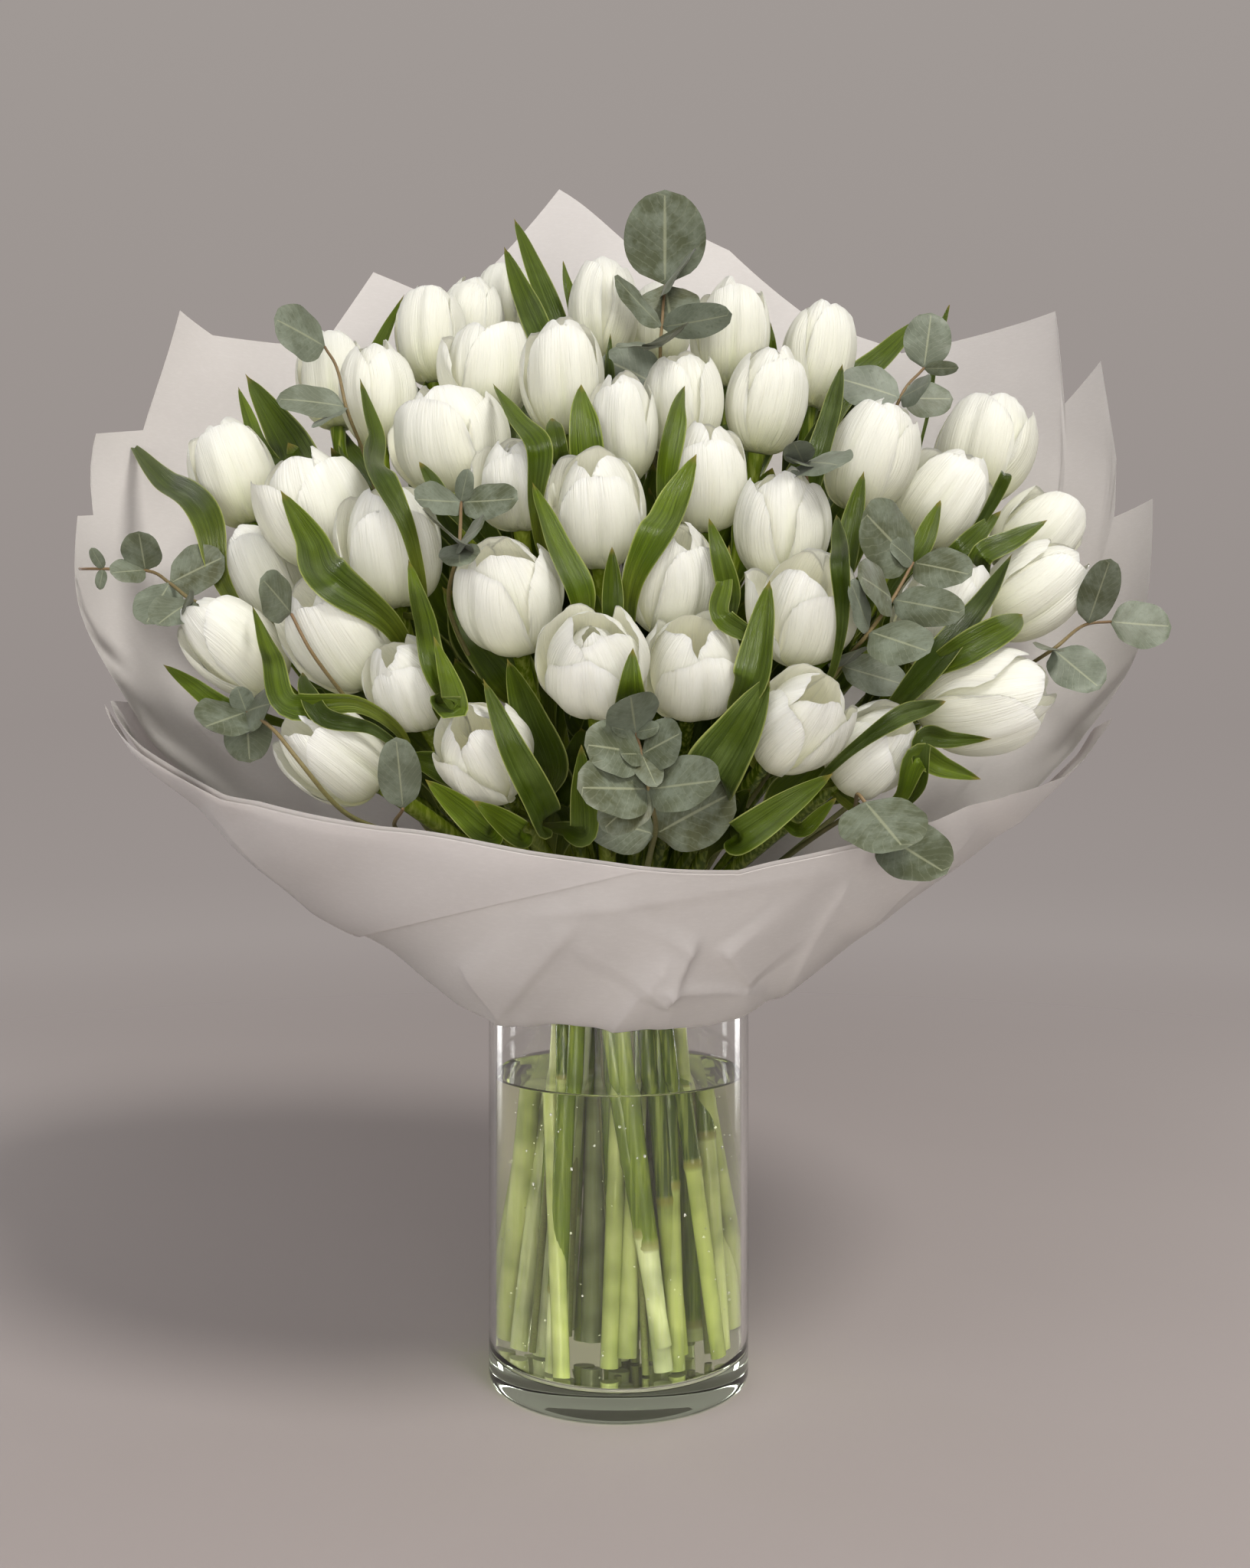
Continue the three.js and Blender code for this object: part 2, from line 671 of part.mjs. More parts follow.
function inFrontOfHeads(point, heads) {
  const moved = point.clone();
  while (isBlocked(moved, UP, 2, heads)) {
    moved.y -= CLEAR_STEP;
  }
  return moved;
}

// A way between fixed ends: again and again its inner points are drawn straight, and each
// stretch is pushed out of the balls that fill its place.
const THREAD_ROUNDS = 80;
const THREAD_CLEARANCE = 1.5;

function threadThrough(path, radius, balls) {
  const route = path.map((point) => point.clone());
  const last = route.length - 1;
  const nearest = new THREE.Vector3();
  const pushStretch = (index, ball) => {
    const stretch = new THREE.Line3(route[index - 1], route[index]);
    const share = stretch.closestPointToPointParameter(ball.centre, true);
    stretch.at(share, nearest);
    const short = ball.radius + radius + THREAD_CLEARANCE - nearest.distanceTo(ball.centre);
    if (short > 0) {
      const push = directionFrom(ball.centre, nearest).multiplyScalar(0.7 * short);
      route[index - 1].addScaledVector(push, index > 1 ? 1 - share : 0);
      route[index].addScaledVector(push, index < last ? share : 0);
    }
  };
  for (let round = 0; round < THREAD_ROUNDS; round += 1) {
    for (let index = 1; index < last; index += 1) {
      const middle = route[index - 1].clone().add(route[index + 1]).multiplyScalar(0.5);
      route[index].lerp(middle, 0.05);
    }
    for (let index = 1; index <= last; index += 1) {
      balls.forEach((ball) => pushStretch(index, ball));
    }
  }
  return route;
}

// ---------------------------------------------------------------- tulip leaves

const LEAF_THICKNESS = 1.8; // at the rib
const LEAF_FOLD = 0.16; // how deep the blade folds along its rib, as a share of its width
const LEAF_ROWS = [0.3, 0.3, 0.35, 1.0, 0.68, 0]; // widths from the root to the tip, as shares
const FOOT_ROW = 3; // the rows below this one are hidden among the heads
const TIP_ROW = 5;
const THROAT_RADIUS = 4; // what the hidden part needs to pass between heads
const HIDDEN_SHARES = [0, 0.4, 0.75, 1]; // where its points start, between the root and the foot

// A leaf springs from the nearest stem, well below the place where it comes into view.
function leafRoot(foot, stems) {
  const wanted = foot.clone().lerp(new THREE.Vector3(0, 0, WAIST_Z), 0.25);
  let best = null;
  stems.forEach((stem) => {
    for (let index = 1; index < stem.path.length - 1; index += 1) {
      const stretch = new THREE.Line3(stem.path[index], stem.path[index + 1]);
      const point = stretch.closestPointToPoint(wanted, true, new THREE.Vector3());
      if (!best || point.distanceTo(wanted) < best.distanceTo(wanted)) {
        best = point;
      }
    }
  });
  return best;
}

function layLeaf(row, heads, stems) {
  const [tipU, tipV, footU, footV, width, way, turn] = row;
  const tip = placeOnDome(tipU, tipV, way < 0 ? -24 : 4);
  const foot = placeOnDome(footU, footV, way < 0 ? -10 : 14);
  const halfWidths = LEAF_ROWS.map((share) => (share * width) / 2);
  const facing = TOWARDS_VIEWER.clone().applyAxisAngle(UP, radians(turn));
  const shown = [foot, foot.clone().lerp(tip, 0.5), tip];
  const shownSide = acrossOf(facing, directionFrom(foot, tip));
  const blade = clearBlade(shown, shownSide, halfWidths.slice(FOOT_ROW), heads, way);
  const root = leafRoot(blade[0], stems);
  const balls = heads.flatMap((head) => head.balls.map((centre) => ({ centre, radius: head.radius })));
  const hidden = HIDDEN_SHARES.map((share) => root.clone().lerp(blade[0], share));
  const path = [...threadThrough(hidden, THROAT_RADIUS, balls), ...blade.slice(1)];
  const tangents = path.map((_, index) => {
    return directionFrom(path[Math.max(0, index - 1)], path[Math.min(TIP_ROW, index + 1)]);
  });
  const sides = tangents.map((tangent) => acrossOf(facing, tangent));
  return { path, tangents, sides, halfWidths };
}

function leafSolid({ path, tangents, sides, halfWidths }, grow) {
  const rings = halfWidths.slice(0, -1).map((halfWidth, index) => {
    const middle = path[index];
    const normal = acrossOf(tangents[index], sides[index]);
    const rib = along(middle, normal, -2 * LEAF_FOLD * halfWidth);
    const half = LEAF_THICKNESS / 2 + 2 * grow;
    const edge = (sign) => {
      const plain = along(middle, sides[index], sign * halfWidth);
      return along(plain, directionFrom(rib, plain), 3 * grow);
    };
    return [edge(1), along(rib, normal, half), edge(-1), along(rib, normal, -half)];
  });
  const start = along(path[0], tangents[0], -2 - grow);
  return skinSolid(rings, start, along(path[TIP_ROW], tangents[TIP_ROW], 3 * grow));
}

// ---------------------------------------------------------------- eucalyptus

const BLADE_THICKNESS = 1.3;
const BLADE_OUTLINE = [0.15, 0.5, 0.87]; // stations along a leaf, between base and tip
const BLADE_WIDTHS = [0.64, 1.0, 0.62];

// A round leaf: two shallow faces over one outline, fullest near its base.
function bladeSolid(base, direction, length, width, facing, turn, grow) {
  const side = acrossOf(facing, direction).applyAxisAngle(direction, radians(turn));
  const normal = acrossOf(direction, side);
  const edge = (station, share) => {
    const middle = along(base, direction, station * length);
    return along(middle, side, (share * width) / 2 + Math.sign(share) * grow);
  };
  const right = BLADE_OUTLINE.map((station, index) => edge(station, BLADE_WIDTHS[index]));
  const left = BLADE_OUTLINE.map((station, index) => edge(station, -BLADE_WIDTHS[index])).reverse();
  const tip = along(base, direction, length + grow);
  const root = along(base, direction, -grow);
  const outline = [root, ...right, tip, ...left];
  const middle = along(base, direction, length * 0.5);
  const half = BLADE_THICKNESS / 2 + 1.5 * grow;
  return skinSolid([outline], along(middle, normal, half), along(middle, normal, -half));
}

// The way a leaf points from its joint, bent forward until no head is in its way.
function clearDirection(base, aim, length, width, heads) {
  const direction = directionFrom(base, aim);
  for (let round = 0; round < 12; round += 1) {
    const side = acrossOf(TOWARDS_VIEWER, direction);
    const blocked = [0.35, 0.7, 1].some((share) => {
      return isBlocked(along(base, direction, share * length), side, (width / 2) * (1.2 - share / 2), heads);
    });
    if (!blocked) {
      break;
    }
    direction.y -= 0.12;
    direction.normalize();
  }
  return direction;
}

const LEAD_STEPS = 4;
const LEAD_DEPTH = 55; // how far a twig stays behind the heads on its way up
const SPRAY_FORWARD = 26; // how far a spray's joints stand in front of the dome

function spraySolids(spray, fork, heads, obstacles, grow) {
  const joints = spray.joints.map(([u, v, forward = 0], index) => {
    const offset = index === 0 ? 20 : -SPRAY_FORWARD - forward;
    return inFrontOfHeads(placeOnDome(u, v, offset), heads);
  });
  const behind = fork.clone().lerp(joints[0], 0.6);
  behind.y += LEAD_DEPTH;
  const lead = new THREE.QuadraticBezierCurve3(fork, behind, joints[0]).getPoints(LEAD_STEPS);
  const path = [...threadThrough(lead, TWIG_RADIUS, obstacles), ...joints.slice(1)];
  const twig = rodSolid(path, TWIG_RADIUS + grow, TWIG_SIDES, null, TWIG_RADIUS / 2 + grow);
  const blades = spray.leaves.map(([joint, u, v, length, width, turn]) => {
    const base = joints[joint];
    const reach = Math.min(placeAt(u, v, base.y).distanceTo(base), length / 2);
    const forward = Math.sqrt((length / 2) ** 2 - reach ** 2);
    const direction = clearDirection(base, placeAt(u, v, base.y - forward), length, width, heads);
    const facing = along(TOWARDS_VIEWER, UP, 0.4).normalize();
    return bladeSolid(base, direction, length, width, facing, turn, grow);
  });
  return { twig, blades };
}

// ---------------------------------------------------------------- wrapping paper

// The bowl and the tall back are one surface: its section is given for the front, the side and
// the back, as distance from the axis and height, and blends in between.
const SECTION_FRONT = [
  [60, 247], [74, 230], [91, 219], [125, 243], [155, 272], [185, 306], [210, 338], [235, 372], [258, 405],
];
const SECTION_SIDE = [
  [60, 250], [76, 234], [98, 235], [150, 274], [205, 322], [262, 378], [303, 450], [324, 540], [312, 665],
];
const SECTION_BACK = [
  [50, 254], [54, 268], [60, 292], [74, 360], [94, 450], [117, 550], [138, 640], [155, 710], [166, 775],
];
const NECK_STATIONS = 2;

// Stations of the rows between the bowl and the rim. Sheets that overlap have them in common,
// so that they lie close.
const TALL_ROWS = [5.5, 7.2, 9];
const LOW_ROWS = [5.2, 6.3];

// Sheets: the layer, counted from the inside, and the rim's corners as the angle round the
// axis in degrees from +X and the height in mm.
const SHEETS = {
  paper_back: {
    layer: 0,
    rows: TALL_ROWS,
    rim: [
      [30, 560], [41, 636], [53, 660], [66, 705], [77, 722], [88, 705], [104, 746], [124, 668], [135, 690],
      [146, 600],
    ],
  },
  paper_left: {
    layer: 1,
    rows: TALL_ROWS,
    rim: [
      [134, 640], [155, 634], [159.5, 645], [163, 565], [169.4, 556], [172, 505], [175, 502], [188, 400],
    ],
  },
  paper_right: {
    layer: 1,
    rows: TALL_ROWS,
    rim: [[-10, 380], [2, 445], [7, 514], [13, 508], [15, 606], [20.5, 585], [21, 645], [46, 632]],
  },
  paper_front: {
    layer: 2,
    rows: LOW_ROWS,
    rim: [
      [-190, 395], [-171, 394], [-155, 368], [-142, 348], [-120, 330], [-101, 321], [-88, 316], [-74, 312],
      [-55, 325], [-38, 348], [-21, 358], [-8.5, 385], [-2, 380],
    ],
  },
};
const COLUMN_STEP = 14; // degrees between the columns of a sheet, at most
const COLUMN_APART = 2; // and at least, beside a corner
const ROW_APART = 0.25; // stations between the uppermost rows of a sheet, at least

function sectionPoint(angle, station, neckRadius) {
  const neck = [[neckRadius, PAPER.neckBottom], [neckRadius, PAPER.neckTop]];
  const sine = Math.sin(angle);
  const share = sine ** 2;
  const ends = [...neck, ...(sine < 0 ? SECTION_FRONT : SECTION_BACK)];
  const sides = [...neck, ...SECTION_SIDE];
  const low = Math.min(Math.floor(station), ends.length - 2);
  const part = station - low;
  const mix = (index, axis) => lerp(sides[index][axis], ends[index][axis], share);
  return [lerp(mix(low, 0), mix(low + 1, 0), part), lerp(mix(low, 1), mix(low + 1, 1), part)];
}

// The station along the section where it reaches a height, above the part that sags.
function stationAtHeight(angle, height, neckRadius) {
  let low = NECK_STATIONS + 2;
  let high = NECK_STATIONS + SECTION_FRONT.length - 1;
  for (let step = 0; step < 30; step += 1) {
    const middle = (low + high) / 2;
    if (sectionPoint(angle, middle, neckRadius)[1] < height) {
      low = middle;
    } else {
      high = middle;
    }
  }
  return low;
}

function rimHeight(rim, degrees) {
  const next = Math.max(1, rim.findIndex(([angle]) => angle >= degrees));
  const [fromAngle, fromHeight] = rim[next - 1];
  const [toAngle, toHeight] = rim[next];
  return lerp(fromHeight, toHeight, (degrees - fromAngle) / (toAngle - fromAngle));
}

// A sheet has columns at its own corners, at those of the sheets that it overlaps, and between.
function sheetColumns(rim) {
  const first = rim[0][0];
  const last = rim[rim.length - 1][0];
  const own = rim.map(([angle]) => angle);
  const others = Object.values(SHEETS).flatMap((sheet) => sheet.rim.map(([angle]) => angle));
  const corners = [...own];
  others.flatMap((angle) => [angle - 360, angle, angle + 360]).forEach((angle) => {
    const apart = Math.min(...corners.map((corner) => Math.abs(corner - angle)));
    if (angle > first && angle < last && apart > COLUMN_APART) {
      corners.push(angle);
    }
  });
  corners.sort((a, b) => a - b);
  const columns = [first];
  for (let index = 1; index < corners.length; index += 1) {
    const from = corners[index - 1];
    const to = corners[index];
    const steps = Math.ceil((to - from) / COLUMN_STEP);
    for (let step = 1; step <= steps; step += 1) {
      columns.push(lerp(from, to, step / steps));
    }
  }
  return columns;
}

// The layers part from each other towards their rims.
function paperPoint(angle, station, layer, throughSheet, neckRadius) {
  const [radius, z] = sectionPoint(angle, station, neckRadius);
  const before = sectionPoint(angle, Math.max(0, station - 0.3), neckRadius);
  const after = sectionPoint(angle, station + 0.3, neckRadius);
  const alongSection = new THREE.Vector2(after[0] - before[0], after[1] - before[1]).normalize();
  const offset = throughSheet + layer * (PAPER.layer + PAPER.parting * (radius - neckRadius));
  const out = radius + alongSection.y * offset;
  return new THREE.Vector3(out * Math.cos(angle), out * Math.sin(angle), z - alongSection.x * offset);
}

function paperSheet({ layer, rows, rim }, neckRadius, grow) {
  const inside = -grow;
  const outside = PAPER.thickness + grow;
  const rimStart = NECK_STATIONS + 2;
  const grids = [inside, outside].map((offset) =>
    sheetColumns(rim).map((degrees) => {
      const angle = radians(degrees);
      const top = stationAtHeight(angle, rimHeight(rim, degrees), neckRadius);
      const stations = [0, 1, 3, rimStart];
      rows.forEach((station, row) => {
        stations.push(Math.min(station, top - ROW_APART * (rows.length - row)));
      });
      stations.push(top);
      return stations.map((station) => paperPoint(angle, station, layer, offset, neckRadius));
    }),
  );
  return sheetSolid(grids[0], grids[1]);
}

// A cord of round section tied about the paper's neck.
function bindingCord(neckRadius) {
  const outerLayer = neckRadius + 2 * PAPER.layer + PAPER.thickness;
  const segments = 20;
  const sides = 5;
  const middle = (outerLayer + GAP + CORD_RADIUS) / Math.cos(Math.PI / segments);
  const height = lerp(PAPER.neckBottom, PAPER.neckTop, 0.3);
  const points = [];
  const triangles = [];
  for (let segment = 0; segment < segments; segment += 1) {
    const angle = (2 * Math.PI * segment) / segments;
    for (let side = 0; side < sides; side += 1) {
      const turn = (2 * Math.PI * side) / sides;
      const radius = middle + CORD_RADIUS * Math.cos(turn);
      const z = height + CORD_RADIUS * Math.sin(turn);
      points.push(new THREE.Vector3(radius * Math.cos(angle), radius * Math.sin(angle), z));
    }
  }
  const at = (segment, side) => (segment % segments) * sides + (side % sides);
  for (let segment = 0; segment < segments; segment += 1) {
    for (let side = 0; side < sides; side += 1) {
      triangles.push([at(segment, side), at(segment + 1, side), at(segment + 1, side + 1)]);
      triangles.push([at(segment, side), at(segment + 1, side + 1), at(segment, side + 1)]);
    }
  }
  return solidOf(points, triangles);
}

// ---------------------------------------------------------------- vase and water

function vaseSolid() {
  const { radius, height, wall, base, segments } = VASE;
  const inner = radius - wall;
  const foot = 2; // the rounded corner under the base
  const profile = [[0, 0], [radius - foot, 0], [radius, foot], [radius, height - 1], [radius - 1, height],
    [inner + 1, height], [inner, height - 1], [inner, base], [0, base]];
  return turnedSolid(profile, segments);
}

function waterSolid(standing) {
  const inner = VASE.radius - VASE.wall - GAP;
  const bottom = VASE.base + GAP;
  const profile = [[0, bottom], [inner, bottom], [inner, WATER_LEVEL], [0, WATER_LEVEL]];
  return largestBody(turnedSolid(profile, VASE.segments).subtract(joined(standing))).simplify(MERGE_LENGTH);
}

// ---------------------------------------------------------------- materials

function finish(color, roughness, opacity = 1) {
  const transparent = opacity < 1;
  return new THREE.MeshStandardMaterial({ color, roughness, metalness: 0, opacity, transparent });
}

const MATERIALS = {
  glass: finish(0xdfe6e4, 0.05, 0.35),
  water: finish(0xcfd8c8, 0.05, 0.4),
  petals: finish(0xf3f1ea, 0.55),
  greens: finish(0x5f7f35, 0.5),
  eucalyptus: finish(0x73877c, 0.7),
  paper: finish(0xd9d4d1, 0.8),
  cord: finish(0xc9b58f, 0.9),
};

function meshOf(name, solid, material) {
  const { vertProperties, triVerts, numProp } = solid.getMesh();
  const positions = [];
  for (let index = 0; index < vertProperties.length; index += numProp) {
    positions.push(...vertProperties.slice(index, index + 3));
  }
  const geometry = new THREE.BufferGeometry();
  geometry.setAttribute("position", new THREE.Float32BufferAttribute(positions, 3));
  geometry.setIndex(Array.from(triVerts));
  geometry.computeVertexNormals();
  const mesh = new THREE.Mesh(geometry, material);
  mesh.name = name;
  return mesh;
}

// ---------------------------------------------------------------- the bouquet, put together

const heads = HEADS.map(makeHead);
settleHeads(heads);

const tulips = heads.map((head) => ({ head, aim: head.base, spacing: STEM_SPACING / 2 }));
const twigs = BRANCHES.map((sprays) => {
  const [u, v] = sprays[0].joints[0];
  const fromStem = STEM_RADIUS + TWIG_RADIUS + 1.7 * GAP;
  return { sprays, aim: placeOnDome(u, v, 0), spacing: fromStem - STEM_SPACING / 2 };
});
const spots = gatherAtWaist([...tulips, ...twigs]);
tulips.forEach((stem, index) => {
  stem.path = stemPath(stem.head, spots[index], index);
});
const bundleRadius = Math.max(...spots.map((spot) => spot.length())) + STEM_RADIUS;
const neckRadius = bundleRadius + GAP;

const obstacles = [
  ...heads.flatMap((head) => head.balls.map((centre) => ({ centre, radius: head.radius }))),
  ...tulips.flatMap((stem) => ballsAlong(stem.path.slice(1), STEM_RADIUS)),
];

const FORK_HEIGHT = 292; // where a branch with several sprays divides

function branchParts(branch, index, grow) {
  const spot = spots[tulips.length + index];
  const waist = belowWaist(spot, WAIST_Z, index);
  const fork = waist.clone().lerp(branch.aim, (FORK_HEIGHT - WAIST_Z) / (branch.aim.z - WAIST_Z));
  const trunk = threadThrough([waist, waist.clone().lerp(fork, 0.5), fork], TWIG_RADIUS, obstacles);
  const below = cutEnd(spot, index);
  const stem = rodSolid([below, ...trunk], TWIG_RADIUS + grow, TWIG_SIDES);
  const sprays = branch.sprays.map((spray) => spraySolids(spray, fork, heads, obstacles, grow));
  return { wood: [stem, ...sprays.map(({ twig }) => twig)], blades: sprays.flatMap(({ blades }) => blades) };
}

const laidLeaves = LEAVES.map((row) => layLeaf(row, heads, tulips));

function buildGreens(grow) {
  const flared = heads.filter((head) => head.open > 0.9);
  const stems = tulips.map((stem) => {
    const inTheWay = flared.filter((head) => head !== stem.head).map(headEnvelope);
    return stemSolid(stem, grow).subtract(joined(inTheWay));
  });
  const leaves = laidLeaves.map((leaf) => leafSolid(leaf, grow));
  return { stems, leaves };
}

const group = new THREE.Group();
const add = (name, solid, material) => group.add(meshOf(name, solid, material));

const grownHeads = joined(heads.map(headEnvelope));
const grownBranches = twigs.map((branch, index) => branchParts(branch, index, GAP));
const grownWood = joined(grownBranches.flatMap(({ wood }) => wood));
const sheets = Object.entries(SHEETS);
const grownPaper = joined(sheets.map(([, sheet]) => paperSheet(sheet, neckRadius, GAP)));

const greens = buildGreens(0);
const leaves = joined(greens.leaves).subtract(joined([grownHeads, grownWood, grownPaper]));
const bridges = contactBridges(tulips.map(({ path }) => path));
const stemsTied = joined([...bridges, ...greens.stems]).subtract(grownWood);
const foliage = largestBody(joined([stemsTied, leaves])).simplify(MERGE_LENGTH);
const grownGreens = buildGreens(GAP);
const grownFoliage = joined([...grownGreens.stems, ...grownGreens.leaves]);
const standing = [...grownGreens.stems, ...grownBranches.flatMap(({ wood }) => wood)];

add("vase", vaseSolid(), MATERIALS.glass);
add("water", waterSolid(standing), MATERIALS.water);
add("tulip_stems_and_leaves", foliage, MATERIALS.greens);
heads.forEach((head, index) => {
  add(`tulip_bloom_${String(index + 1).padStart(2, "0")}`, headSolid(head), MATERIALS.petals);
});
let others = joined([grownHeads, grownFoliage, foliage, grownPaper]);
twigs.forEach((branch, index) => {
  const { wood, blades } = branchParts(branch, index, 0);
  const solid = largestBody(joined([...wood, joined(blades).subtract(others)])).simplify(MERGE_LENGTH);
  add(`eucalyptus_branch_${index + 1}`, solid, MATERIALS.eucalyptus);
  const grown = grownBranches[index];
  others = joined([others, ...grown.wood, ...grown.blades]);
});
sheets.forEach(([name, sheet]) => {
  add(name, paperSheet(sheet, neckRadius, 0), MATERIALS.paper);
});
add("binding_cord", bindingCord(neckRadius), MATERIALS.cord);

export default group;
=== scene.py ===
"""White tulips and eucalyptus, wrapped in paper, in a glass cylinder vase with water.

Lengths are worked out in millimetres and put into the meshes in metres, +Z up, -Y towards
the viewer. The origin is the middle of the vase's underside.
"""
import bpy
import math
import numpy as np
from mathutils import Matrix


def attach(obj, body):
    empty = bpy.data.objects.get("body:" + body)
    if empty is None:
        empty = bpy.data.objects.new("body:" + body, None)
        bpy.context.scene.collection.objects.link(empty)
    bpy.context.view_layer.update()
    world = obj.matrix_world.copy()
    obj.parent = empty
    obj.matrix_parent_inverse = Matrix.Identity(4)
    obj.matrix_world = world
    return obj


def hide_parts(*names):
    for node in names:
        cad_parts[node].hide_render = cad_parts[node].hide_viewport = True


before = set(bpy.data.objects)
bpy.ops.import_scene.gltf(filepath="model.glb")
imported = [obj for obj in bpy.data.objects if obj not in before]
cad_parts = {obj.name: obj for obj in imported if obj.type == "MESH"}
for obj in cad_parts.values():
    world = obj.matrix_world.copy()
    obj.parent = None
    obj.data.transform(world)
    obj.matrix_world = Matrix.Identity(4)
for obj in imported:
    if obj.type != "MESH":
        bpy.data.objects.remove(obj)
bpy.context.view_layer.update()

MM = 0.001

# ---------------------------------------------------------------- sizes, as in the solids

GAP = 0.3
VASE_RADIUS, VASE_HEIGHT, VASE_WALL, VASE_BASE = 75.0, 220.0, 4.0, 15.0
WATER_LEVEL = 174.0
STEM_SPACING, TWIG_RADIUS, WAIST_Z = 9.9, 2.0, 243.0
STEM_NEED = 4.9                      # half the room that a stem takes
STEM_RADIUS = 4.75                   # the round stem inside it
CUT_END_Z, CUT_END_SPREAD = VASE_BASE + 1.1, 22.0
FLOOR_SPREAD = (1.3, 1.68)           # how far stems part towards the floor, least and most
FLOOR_TWIST = (math.radians(-35), math.radians(60))   # how far they wind, least and most
FORK_HEIGHT = 292.0
WAIST_LEAN = 46.0                    # how far out a stem that lies level would pass the waist
CROSSING_STEP, CUT_STEP = 0.618, 0.755   # from stem to stem, as shares of a round
BLADE_CLEARANCE, THREAD_CLEARANCE = 3.0, 1.5   # of leaves and of twigs from the heads

# The dome of heads: its depth in front, how far it goes back above and at the sides, and the
# height where it starts to, its height and its half-width.
DOME_FRONT, DOME_BACK, DOME_SIDES = -170.0, 200.0, 130.0
DOME_FOOT, DOME_TALL, DOME_WIDE = 340.0, 300.0, 280.0
HEAD_STEPS, HEAD_PARTING = 160, 1.2
NOD_MORE, NOD_LEAST = 1.1, math.radians(3)

# The eye is level, 900 mm in front of the vase's axis; a full picture is 1632 x 2048 pixels.
EYE = np.array([3.7, -900.0, 357.0])
FOCAL_PIXELS, CENTRE_U, HORIZON_V = 2027.0, 816.0, 986.5
PICTURE_HEIGHT = 2048.0
UP = np.array([0.0, 0.0, 1.0])
TOWARDS_VIEWER = np.array([0.0, -1.0, 0.0])

# Tulip heads: u and v of the middle, width and length, lean to the right in degrees, how far
# open from 0 to 1, and how far behind the dome of heads.
HEADS = [
    [307, 621, 46, 60, -18, 0.15, 0],
    [437, 500, 42, 58, -5, 0.1, 25],
    [493, 520, 42, 57, -3, 0.1, 0],
    [563, 440, 40, 56, -4, 0.1, 10],
    [614, 428, 40, 56, 3, 0.1, 35],
    [634, 488, 50, 52, -6, 0.45, 0],
    [735, 495, 44, 60, -2, 0.1, -8],
    [787, 412, 40, 58, 2, 0.15, 15],
    [814, 562, 36, 54, -4, 0.2, 8],
    [590, 578, 60, 56, -8, 0.5, 0],
    [675, 634, 44, 46, -5, 0.5, 8],
    [780, 670, 48, 56, -3, 0.35, 0],
    [413, 669, 58, 60, -20, 0.6, 8],
    [511, 719, 52, 58, -5, 0.3, -4],
    [664, 782, 52, 56, -10, 0.3, 0],
    [345, 757, 42, 54, -28, 0.15, 18],
    [309, 846, 42, 60, -46, 0.25, 0],
    [443, 830, 48, 60, -33, 0.4, -6],
    [533, 897, 38, 48, -20, 0.2, 6],
    [775, 868, 50, 50, -2, 0.42, 0],
    [438, 985, 44, 58, -50, 0.3, 0],
    [633, 985, 44, 54, -20, 0.35, 0],
    [903, 875, 48, 50, 3, 0.45, 0],
    [876, 759, 46, 54, 5, 0.1, 0],
    [922, 627, 43, 54, 2, 0.2, 0],
    [1020, 693, 47, 56, -2, 0.15, 4],
    [1050, 800, 50, 52, 6, 0.95, 0],
    [1042, 946, 44, 56, 35, 0.45, 0],
    [1138, 982, 40, 50, 42, 0.2, 0],
    [1279, 915, 52, 64, 76, 0.3, 0],
    [1228, 806, 46, 58, 28, 0.3, 16],
    [1346, 773, 46, 60, 52, 0.25, 0],
    [1352, 700, 46, 58, 46, 0.3, 26],
    [1228, 655, 50, 56, 32, 0.45, 0],
    [1285, 590, 56, 64, 22, 0.55, 22],
    [1138, 600, 46, 60, 20, 0.2, 0],
    [1000, 527, 42, 55, 10, 0.15, 0],
    [1067, 468, 40, 60, 8, 0.1, 10],
    [955, 442, 44, 58, 3, 0.15, 6],
    [891, 532, 43, 54, 0, 0.15, 0],
    [660, 405, 40, 54, 0, 0.1, 55],
    [860, 428, 40, 54, 2, 0.1, 45],
]

